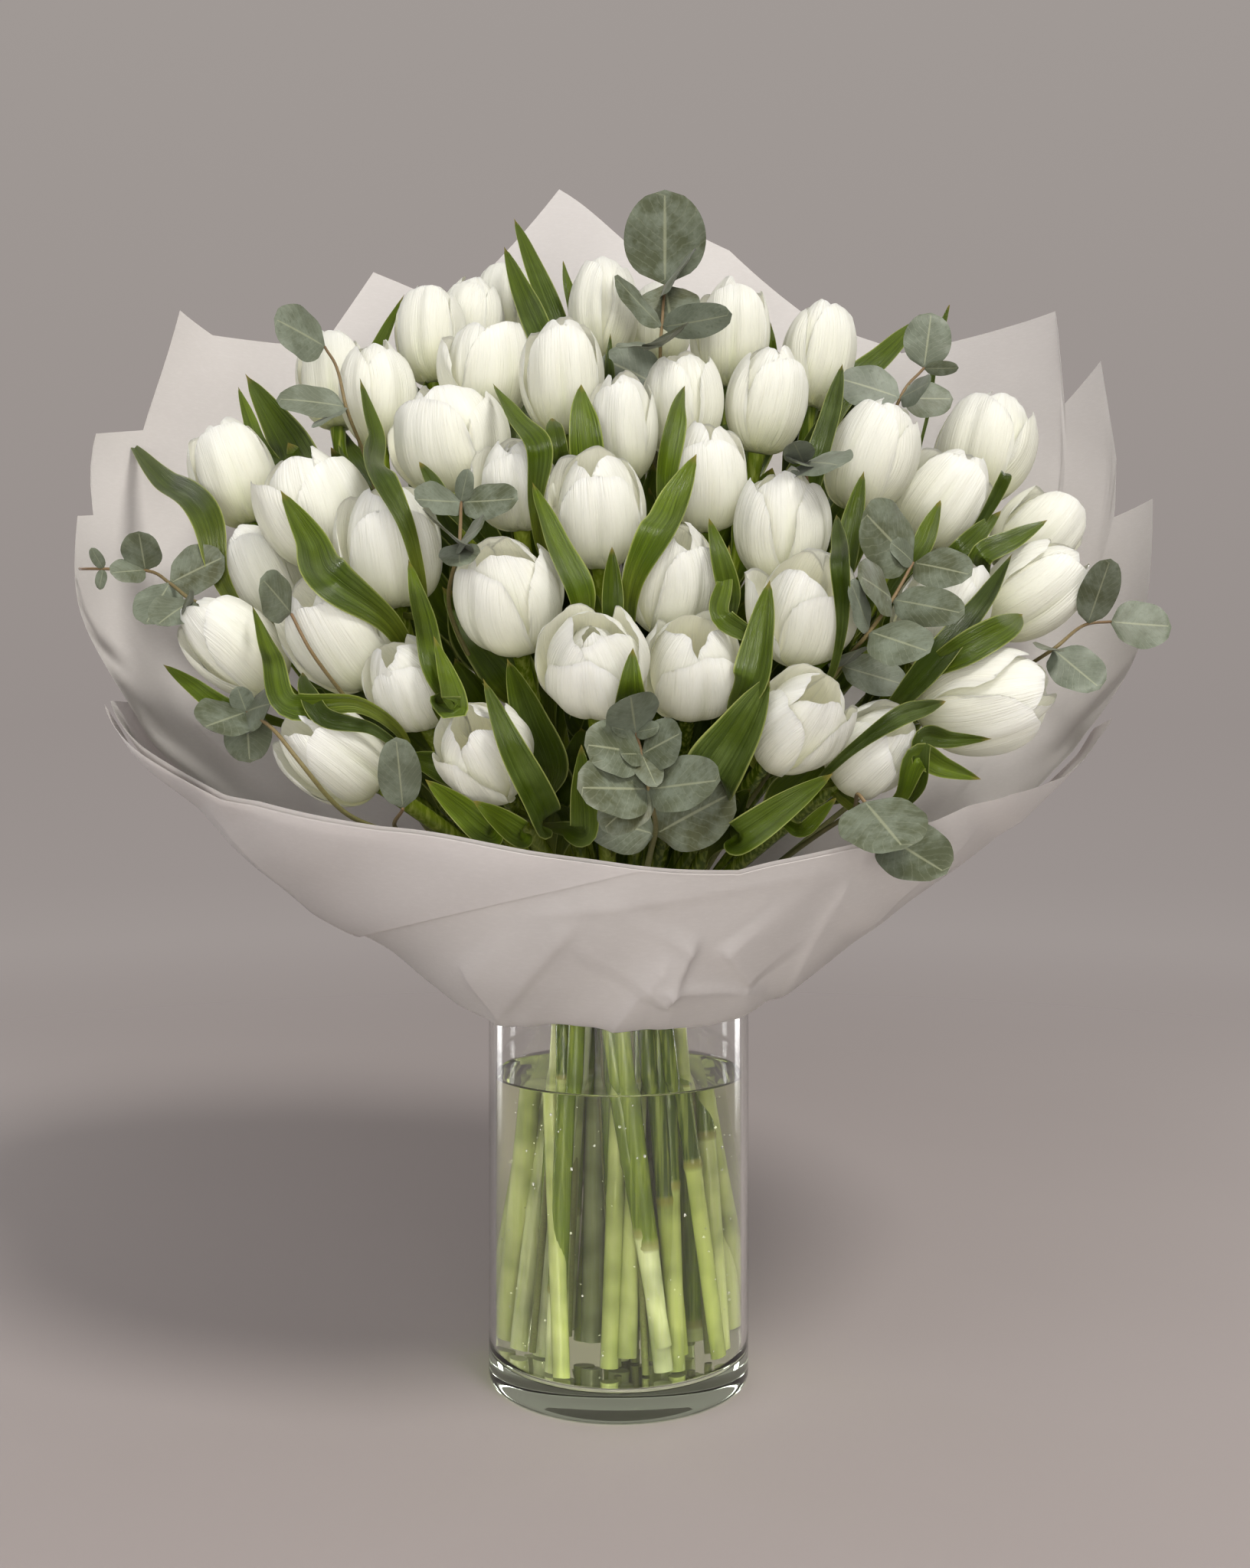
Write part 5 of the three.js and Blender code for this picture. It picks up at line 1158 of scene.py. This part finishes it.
def round_leaf(base, direction, length, width, turn, chance):
    """A round leaf on a grid of along s and across t: the outline is an ellipse drawn towards
    its base, on a short stalk; the blade bends back along s, cups along t and has a raised
    midrib, and its back lies a leaf's thickness behind."""
    facing = unit(TOWARDS_VIEWER + 0.4 * UP)
    side = turned_about(unit(np.cross(facing, direction)), direction, math.radians(turn))
    normal = unit(np.cross(direction, side))
    s, t = np.meshgrid(np.linspace(0, 1, 17), np.linspace(-1, 1, 11), indexing="ij")
    blade = np.clip((s - 0.05) / 0.95, 0, 1) ** 0.88
    half = np.sqrt(np.maximum(1 - (2 * blade - 1) ** 2, 0)) * width / 2
    half = np.where(s < 0.1, np.maximum(half, 0.5), half) * np.minimum(1, (1 - s) * 1e6)
    curl = chance.uniform(-0.05, 0.12)
    lift = -curl * length * s**2 + chance.uniform(-0.05, 0.1) * width * t**2 * np.sin(np.pi * s)
    lift = lift + 0.025 * width * t**2 * np.sin(2 * np.pi * (2 * s + chance.uniform()))
    rib = 0.25 * np.exp(-(t / 0.08) ** 2) * (1 - s)
    thick = 0.4 * (1 - t**4) * np.minimum(1, half / 2)

    def placed(out):
        flat = base + direction * (s * length)[..., None] + side * (half * t)[..., None]
        return flat + normal * out[..., None]

    marks = stacked(t, s, chance.uniform())
    return shell(placed(lift + thick - rib), placed(lift - thick - rib), marks, poles=[0, -1])


def clear_direction(base, aim, length, width):
    """The way a leaf points from its joint, bent forward until no head is in its way."""
    direction = unit(aim - base)
    for _ in range(12):
        side = unit(np.cross(TOWARDS_VIEWER, direction))
        if not any(blocked(base + direction * share * length, side, (width / 2) * (1.2 - share / 2))
                   for share in (0.35, 0.7, 1)):
            break
        direction = unit(direction - [0, 0.12, 0])
    return direction


def before_heads(point):
    """A point, moved towards the viewer until no head is in its way."""
    while blocked(point, UP, 2):
        point = point - [0, BLADE_STEP, 0]
    return point


SPRAY_BEHIND, JOINTS_FORWARD = 20, 26   # of the dome: a spray's lowest joint, and the others


def branch(sprays, aim, spot, index):
    """A branch: its trunk from the cut end through the waist to the fork, and from there a
    twig to the joints of each spray, which carry the leaves."""
    chance = np.random.default_rng(400 + index)
    waist = below_waist(spot, WAIST_Z, 0)
    fork = lerp(waist, aim, (FORK_HEIGHT - WAIST_Z) / (aim[2] - WAIST_Z))
    lead = [waist, lerp(waist, fork, 0.5), fork]
    trunk = thread_through(lead, TWIG_RADIUS, obstacle_centres, obstacle_radii)
    low = cut_end(spot, index)
    below = [lerp(low, waist, share) for share in (0, 0.25, 0.5, 0.75)]
    twigs = [tube(smooth_path(below + trunk, 60), 0.9 * TWIG_RADIUS, 10)]
    blades = []
    for corners, leaves in sprays:
        joints = []
        for order, (u, v, *forward) in enumerate(corners):
            off = -JOINTS_FORWARD - sum(forward) if order else SPRAY_BEHIND
            joints.append(before_heads(place_on_dome(u, v, off)))
        behind = lerp(fork, joints[0], 0.6) + [0, 55, 0]
        lead = bezier([fork, behind, joints[0]], np.linspace(0, 1, 5))
        path = thread_through(lead, TWIG_RADIUS, obstacle_centres, obstacle_radii) + joints[1:]
        girth = np.linspace(0.85 * TWIG_RADIUS, 0.4 * TWIG_RADIUS, 70)
        twigs.append(tube(smooth_path(path, 70), girth, 10, caps=1.0))
        for joint, u, v, length, width, turn in leaves:
            base = joints[joint]
            level = place_at(u, v, base[1])
            reach = min(np.linalg.norm(level - base), length / 2)
            forward = min(math.sqrt((length / 2) ** 2 - reach**2), 0.3 * length)
            direction = clear_direction(base, place_at(u, v, base[1] - forward), length, width)
            blades.append(round_leaf(base, direction, length, width, turn, chance))
    return twigs, blades


for index, (sprays, aim) in enumerate(zip(BRANCHES, branch_aims)):
    twigs, blades = branch(sprays, aim, spots[len(heads) + index], index)
    stands_for = f"eucalyptus_branch_{index + 1}"
    piece(f"eucalyptus_twigs_{index + 1}", twigs, TWIG, stands_for)
    piece(f"eucalyptus_leaves_{index + 1}", blades, EUCALYPTUS, stands_for)

# ---------------------------------------------------------------- wrapping paper

NECK_BOTTOM, NECK_TOP = 232.0, 244.0
PAPER_LAYER, PAPER_PARTING, PAPER_THICKNESS, PAPER_SKIN = 1.5, 0.023, 0.8, 0.3
# Sections through the smooth form above the neck, as radius and height.
SECTIONS = {
    "front": [(60, 247), (74, 230), (91, 219), (125, 243), (155, 272), (185, 306), (210, 338), (235, 372),
              (258, 405)],
    "side": [(60, 250), (76, 234), (98, 235), (150, 274), (205, 322), (262, 378), (303, 450), (324, 540),
             (312, 665)],
    "back": [(50, 254), (54, 268), (60, 292), (74, 360), (94, 450), (117, 550), (138, 640), (155, 710),
             (166, 775)],
}
# Sheets: the layer, counted from the inside, and the rim's corners as the angle round the axis
# in degrees from +X and the height.
SHEETS = {
    "paper_back": (0, [(30, 560), (41, 636), (53, 660), (66, 705), (77, 722), (88, 705), (104, 746),
                       (124, 668), (135, 690), (146, 600)]),
    "paper_left": (1, [(134, 640), (155, 634), (159.5, 645), (163, 565), (169.4, 556), (172, 505),
                       (175, 502), (188, 400)]),
    "paper_right": (1, [(-10, 380), (2, 445), (7, 514), (13, 508), (15, 606), (20.5, 585), (21, 645),
                        (46, 632)]),
    "paper_front": (2, [(-190, 395), (-171, 394), (-155, 368), (-142, 348), (-120, 330), (-101, 321),
                        (-88, 316), (-74, 312), (-55, 325), (-38, 348), (-21, 358), (-8.5, 385), (-2, 380)]),
}
FLAP_LAYER, FLAP_EDGE = 2.55, (480, 1222, 1000, 1100)   # where it lies, and its edge in the front view


def fine_section(section):
    """A section through the neck and its points, sampled forty times between stations."""
    points = np.array([(neck_radius, NECK_BOTTOM), (neck_radius, NECK_TOP)] + section, float)
    fine = np.linspace(0, len(points) - 1, 40 * (len(points) - 1) + 1)
    index = np.clip(fine.astype(int), 0, len(points) - 2)
    slopes = np.gradient(points, axis=0) * 0.8
    return fine, hermite(points, slopes, index, (fine - index)[:, None])


FINE = {name: fine_section(section) for name, section in SECTIONS.items()}


def section_point(angle, station):
    """Radius and height at an angle and a station: the side's section drawn towards the
    front's or the back's by the square of the angle's sine."""
    share = np.sin(angle) ** 2
    parts = []
    for axis in (0, 1):
        reads = {name: np.interp(station, fine, curve[:, axis]) for name, (fine, curve) in FINE.items()}
        ends = np.where(np.sin(angle) < 0, reads["front"], reads["back"])
        parts.append(lerp(reads["side"], ends, share))
    return parts


def halving(low, high, is_below):
    """Where a test between low and high stops being true, by halving thirty times."""
    for _ in range(30):
        middle = (low + high) / 2
        below = is_below(middle)
        low, high = np.where(below, middle, low), np.where(below, high, middle)
    return low


def station_at_height(angle, height):
    """The station above the sag where the section reaches a height."""
    return halving(np.full_like(angle, 4.0), np.full_like(angle, 10.0),
                   lambda station: section_point(angle, station)[1] < height)


# Folds in the paper: u and v of both ends, how high they stand, and how wide they fall off on
# the left of the way from the first end to the second and on its right, in mm.
PAPER_FOLDS = [
    (905, 1205, 860, 1292, 5.5, 2.5, 22), (935, 1215, 972, 1266, 4.5, 22, 2.5),
    (860, 1262, 985, 1274, 4.5, 2.5, 20), (520, 1250, 735, 1338, 3.0, 3, 24),
    (640, 1330, 760, 1180, 2.5, 26, 3), (1000, 1300, 1095, 1130, 3.0, 3, 26),
    (1110, 1200, 1250, 1060, 4.0, 26, 4), (310, 1030, 500, 1225, 4.0, 4, 26),
    (230, 900, 360, 1010, 3.0, 4, 20), (1290, 1060, 1400, 950, 3.5, 24, 4),
    (790, 1345, 870, 1225, 3.5, 4, 24), (690, 1340, 610, 1240, 3.0, 4, 20),
    (700, 1175, 1080, 1120, 2.0, 18, 4), (1394, 409, 1383, 650, 4.0, 2.5, 20),
    (262, 420, 250, 640, 3.0, 16, 4), (545, 335, 590, 420, 2.5, 4, 16),
]


def picture_of(points):
    """Where a point stands in the front view: u and v, and the scale in pixels for a mm."""
    scale = FOCAL_PIXELS / (points[..., 1] - EYE[1])
    u = CENTRE_U + (points[..., 0] - EYE[0]) * scale
    return u, HORIZON_V - (points[..., 2] - EYE[2]) * scale, scale


def crumple(points, freedom):
    """How far the paper stands out of its smooth form: broad swells, as a sum of sines, and the
    folds, each a ridge that falls off from its line in the front view, fast on one side and
    slowly on the other."""
    x, y, z = points[..., 0], points[..., 1], points[..., 2]
    lift = (1.5 * np.sin(0.034 * x + 0.022 * z + 0.4) + 1.0 * np.sin(-0.029 * x + 0.018 * y + 0.05 * z + 1.9)
            + 0.55 * np.sin(0.08 * x + 0.04 * y - 0.06 * z + 0.8))
    u, v, scale = picture_of(points)
    for u1, v1, u2, v2, height, left, right in PAPER_FOLDS:
        du, dv = u2 - u1, v2 - v1
        length = math.hypot(du, dv)
        along = ((u - u1) * du + (v - v1) * dv) / length**2
        off = ((u - u1) * dv - (v - v1) * du) / length / scale
        ends = np.clip(np.minimum(along, 1 - along) * 5 + 0.3, 0, 1)
        lift = lift + height * np.exp(-np.where(off > 0, off / left, -off / right)) * ends * (y < 90)
    return lift * freedom


def paper_place(angle, station, layer, through):
    """Where the paper lies at an angle and a station: the smooth form of its layer, offset
    square to the section, a little pleated above the neck and crumpled further out."""
    radius, z = section_point(angle, station)
    before = section_point(angle, np.maximum(station - 0.3, 0))
    after = section_point(angle, station + 0.3)
    run = np.stack([after[0] - before[0], after[1] - before[1]])
    run = run / np.linalg.norm(run, axis=0)
    freedom = np.clip((station - 1.3) / 2.2, 0, 1)
    pleats = (0.7 * np.sin(17 * angle + 1.3 * np.sin(5 * angle)) + 0.4 * np.sin(41 * angle)) * freedom
    pleats = pleats * np.exp(-((station - 2.6) / 1.2) ** 2)
    offset = layer * (PAPER_LAYER + PAPER_PARTING * (radius - neck_radius)) + through
    offset = offset + crumple(about_axis(radius, angle, z), freedom) + pleats
    return about_axis(radius + run[1] * offset, angle, z - run[0] * offset)


def station_at_line(angle, layer, line):
    """The station where a sheet meets a line of the front view, u and v of both its ends."""
    u1, v1, u2, v2 = line

    def is_under(station):
        u, v, _ = picture_of(paper_place(angle, station, layer, PAPER_THICKNESS))
        return v > v1 + (u - u1) * (v2 - v1) / (u2 - u1)

    return halving(np.full_like(angle, 2.0), np.full_like(angle, 9.0), is_under)


def sheet(layer, rim, number, from_line=None):
    """A sheet on a grid of angle and station, from the neck, or from a line of the front view,
    up to its rim, with a column for every 0.6 degrees and for every corner of the rim."""
    corners, heights = np.array(rim, float).T
    first, last = corners[0], corners[-1]
    degrees = np.unique(np.concatenate([corners, np.linspace(first, last, int((last - first) / 0.6))]))
    angle = np.radians(degrees)[:, None]
    top = station_at_height(angle, np.interp(degrees, corners, heights)[:, None])
    share = np.concatenate([[0.0, 0.006], np.linspace(0.014, 0.98, 130), [0.992, 1.0]])
    low = 0.0 if from_line is None else np.minimum(station_at_line(angle, layer, from_line), top - 0.02)
    station = lerp(low, top, share)
    marks = stacked(np.linspace(-1, 1, len(degrees))[:, None], share[None], number / 4)
    inner, outer = (paper_place(angle, station, layer, through)
                    for through in (PAPER_SKIN, PAPER_THICKNESS - PAPER_SKIN))
    return shell(inner, outer, marks)


for number, (name, (layer, rim)) in enumerate(SHEETS.items()):
    piece(f"tissue_{name}", [sheet(layer, rim, number)], TISSUE, name)

# The front sheet's turned-down flap: its lower edge runs slanting across the bowl.
flap_rim = [(angle, height) for angle, height in SHEETS["paper_front"][1] if -172 < angle < -50]
piece("tissue_front_flap", [sheet(FLAP_LAYER, flap_rim, 4, FLAP_EDGE)], TISSUE, "paper_front")

# ---------------------------------------------------------------- cord, vase and water

CORD_RADIUS = 1.5
STRAND_OFF, STRAND_RADIUS, STRAND_TURNS = 0.75, 0.78, 50


def twine():
    """Three strands wound round one ring: each strand's middle turns fifty times about the
    ring while it goes round, and carries a ring of eight points."""
    outer = neck_radius + 2 * PAPER_LAYER + PAPER_THICKNESS
    middle = outer + GAP + CORD_RADIUS
    height = lerp(NECK_BOTTOM, NECK_TOP, 0.3)
    around = np.linspace(0, 2 * np.pi, 1000, endpoint=False)[:, None]
    turn = np.linspace(0, 2 * np.pi, 8, endpoint=False)[None]
    marks = stacked(0.0, np.linspace(0, 1, len(around) + 1)[:-1, None] + 0 * turn, 0.0)
    strands = []
    for strand in range(3):
        twist = STRAND_TURNS * around + strand * 2 * np.pi / 3
        out = middle + STRAND_OFF * np.cos(twist) + STRAND_RADIUS * np.cos(turn)
        up = height + STRAND_OFF * np.sin(twist) + STRAND_RADIUS * np.sin(turn)
        strands.append(surface(about_axis(out, around, up), marks, ring=True))
    return strands


def corner(radius, height, size, start, end, count=6):
    """Points of a quarter round between two angles, in degrees."""
    angle = np.radians(np.linspace(start, end, count))
    return [(radius + size * math.cos(a), height + size * math.sin(a)) for a in angle]


inner = VASE_RADIUS - VASE_WALL
vase_profile = ([(0, 1.2), (52, 1.2), (60, 0.25), (66, 0.05)]
                + corner(VASE_RADIUS - 3, 3, 3, -90, 0)
                + [(VASE_RADIUS, height) for height in np.linspace(6, VASE_HEIGHT - 4, 14)]
                + corner(VASE_RADIUS - 2, VASE_HEIGHT - 2, 2, 0, 180, 12)
                + [(inner, height) for height in np.linspace(VASE_HEIGHT - 4, VASE_BASE + 9, 14)]
                + corner(inner - 7, VASE_BASE + 7, 7, 0, -90)
                + [(50, VASE_BASE - 0.15), (20, VASE_BASE - 0.25), (0, VASE_BASE - 0.25)])
water_profile = ([(0, VASE_BASE + 0.1), (20, VASE_BASE + 0.1), (50, VASE_BASE + 0.1)]
                 + corner(inner - 7.05, VASE_BASE + 7.05, 7, -90, 0)
                 + [(inner - 0.05, height) for height in np.linspace(VASE_BASE + 9, WATER_LEVEL + 1.8, 14)]
                 + [(inner - 0.6, WATER_LEVEL + 0.9), (inner - 1.8, WATER_LEVEL + 0.25),
                    (inner - 4.0, WATER_LEVEL), (40, WATER_LEVEL), (0, WATER_LEVEL)])
piece("glass_vase", [lathe(vase_profile)], GLASS, "vase")
piece("vase_water", [lathe(water_profile)], WATER, "water")
piece("twisted_cord", twine(), TWINE, "binding_cord")


BUBBLE_COUNT, BUBBLES_DOWN = 420, 150.0


def bubbles():
    """Air bubbles under water, on the stems' skins and on the inside of the glass: each a grid
    of turn and rise on a ball."""
    chance = np.random.default_rng(90)
    made = []
    rise = np.linspace(-np.pi / 2, np.pi / 2, 7)[:, None]
    ball = about_axis(np.cos(rise), np.linspace(0, 2 * np.pi, 9)[:-1], np.sin(rise))
    for index in range(BUBBLE_COUNT):
        z = WATER_LEVEL - 3 - BUBBLES_DOWN * chance.uniform() ** 1.3
        size = 0.35 + 0.55 * chance.uniform() ** 3
        around = chance.uniform(0, 2 * np.pi)
        way = np.array([math.cos(around), math.sin(around), 0])
        if index % 3 == 0:
            centre = way * (inner - size - 0.2) + UP * z
        else:
            number = chance.integers(0, len(heads))
            centre = below_waist(spots[number], z, number) + way * (STEM_RADIUS + size * 0.6)
        made.append(surface(centre + size * ball, np.zeros_like(ball)))
    return made


piece("water_bubbles", bubbles(), BUBBLE, "water")

# ---------------------------------------------------------------- studio


def studio_floor():
    """A round floor: rings of points about the vase, further apart further out. Towards its
    edge the board clears away into the even backdrop of the room."""
    radius = np.concatenate([[0.0], np.linspace(0.3, 1.6, 8), np.linspace(2.0, 6.0, 9)])[:, None] / MM
    points = about_axis(radius, np.linspace(0, 2 * np.pi, 96, endpoint=False), 0.0)
    number = np.pad(numbered(points), ((0, 0), (0, 1)), mode="wrap")
    mesh = bpy.data.meshes.new("studio_floor")
    mesh.from_pydata((points.reshape(-1, 3) * MM).tolist(), [], quads_between(number)[:, ::-1].tolist())
    mesh.validate()
    made = new_material("painted_board_matt")
    place = node(made, "TexCoord", out="Object")
    cloud = node(made, "TexNoise", {"Vector": place, "Scale": 2.5, "Detail": 3.0})
    colour = node(made, "Mix", {0: cloud, 6: "#968e8d", 7: "#9b9392"}, out=2, data_type="RGBA")
    skin = node(made, "BsdfPrincipled", {"Base Color": colour, "Roughness": 0.85})
    away = node(made, "VectorMath", {0: place}, out="Value", operation="LENGTH")
    fade = node(made, "MapRange", {0: away, 1: 0.5, 2: 2.4, 3: 0.0, 4: 1.0}, interpolation_type="SMOOTHSTEP")
    clear = node(made, "BsdfTransparent")
    mixed = node(made, "MixShader", {0: fade, 1: skin, 2: clear})
    node(made, "OutputMaterial", {0: mixed}, out=None)
    mesh.materials.append(made)
    floor = bpy.data.objects.new("studio_floor", mesh)
    bpy.context.scene.collection.objects.link(floor)


def lamp(name, place, aim, size, power, colour, tall=None, glints=False):
    """A round soft box, or an upright strip where it is given a height. Only one with glints
    is seen in glass and on wax, and a strip is there for these alone."""
    light = bpy.data.lights.new(name, "AREA")
    light.shape = "RECTANGLE" if tall else "DISK"
    light.size = size
    if tall:
        light.size_y = tall
    light.energy = power
    light.color = linear(colour)[:3]
    made = bpy.data.objects.new(name, light)
    made.location = place
    way = np.array(aim) - np.array(place)
    made.rotation_euler = (math.atan2(math.hypot(way[0], way[1]), -way[2]), 0, math.atan2(-way[0], way[1]))
    made.visible_glossy = glints
    made.visible_diffuse = tall is None
    bpy.context.scene.collection.objects.link(made)


studio_floor()
lamp("key", (1.35, -2.1, 3.4), (0, -0.05, 0.4), 1.1, 128, "#fffbf4", glints=True)
lamp("fill", (-2.3, -2.2, 1.5), (0, 0, 0.4), 3.0, 32, "#f9faff")
lamp("front", (0.4, -3.0, 0.9), (0, 0, 0.3), 2.4, 18, "#ffffff")
lamp("bounce", (0.0, -1.9, 0.1), (0, 0, 0.25), 1.5, 30, "#fff8f2")
for side, x in (("left", -1.25), ("right", 1.25)):
    lamp(f"edge_{side}", (x, 1.0, 0.5), (0, 0, 0.2), 0.16, 13, "#ffffff", tall=1.6, glints=True)

# The room: an even grey wall, a little lighter towards the floor and the ceiling, for rays from
# the camera and rays straight through the glass. What surfaces reflect and are lit by is the
# pale ceiling over them and the unlit half of the room behind the lamps.
world = bpy.data.worlds.new("soft_room")
world.use_nodes = True
world.node_tree.nodes.clear()
way = node(world, "TexCoord", out="Generated")
_, back, height = node(world, "SeparateXYZ", {0: way}, out=None)
share = node(world, "MapRange", {0: height, 1: -0.3, 2: 0.5, 3: 0.0, 4: 1.0})
wall = node(world, "ValToRGB", {0: share}, [(0.0, "#b2aaa6"), (1.0, "#a29b97"), (0.28, "#9a928f"),
                                            (0.4, "#978f8c")])
rise = node(world, "MapRange", {0: height, 1: 0.2, 2: 0.8, 3: 0.0, 4: 1.0})
depth = node(world, "MapRange", {0: back, 1: -0.35, 2: 0.5, 3: 0.0, 4: 1.0})
around = node(world, "Mix", {0: depth, 6: "#2e2c2b", 7: "#98908d"}, out=2, data_type="RGBA")
around = node(world, "Mix", {0: rise, 6: around, 7: "#b4b0ac"}, out=2, data_type="RGBA")
rays = ("Is Camera Ray", "Is Transmission Ray", "Diffuse Depth", "Glossy Depth")
camera_ray, passing, scattered, mirrored = (node(world, "LightPath", out=name) for name in rays)
turned = node(world, "Math", {0: scattered, 1: mirrored}, operation="ADD")
straight = node(world, "Math", {0: passing, 1: turned}, operation="GREATER_THAN")
seen = node(world, "Math", {0: camera_ray, 1: straight}, operation="MAXIMUM")
lit = node(world, "Mix", {0: seen, 6: around, 7: wall}, out=2, data_type="RGBA")
room = node(world, "Background", {0: lit})
node(world, "OutputWorld", {0: room}, out=None)
bpy.context.scene.world = world

lens = bpy.data.cameras.new("camera")
lens.sensor_width = 36.0
lens.lens = FOCAL_PIXELS / PICTURE_HEIGHT * lens.sensor_width
lens.shift_y = (HORIZON_V - PICTURE_HEIGHT / 2) / PICTURE_HEIGHT
camera = bpy.data.objects.new("camera", lens)
camera.location = EYE * MM
camera.rotation_euler = (math.radians(90), 0, 0)
bpy.context.scene.collection.objects.link(camera)
bpy.context.scene.camera = camera
bpy.context.scene.view_settings.view_transform = "Standard"
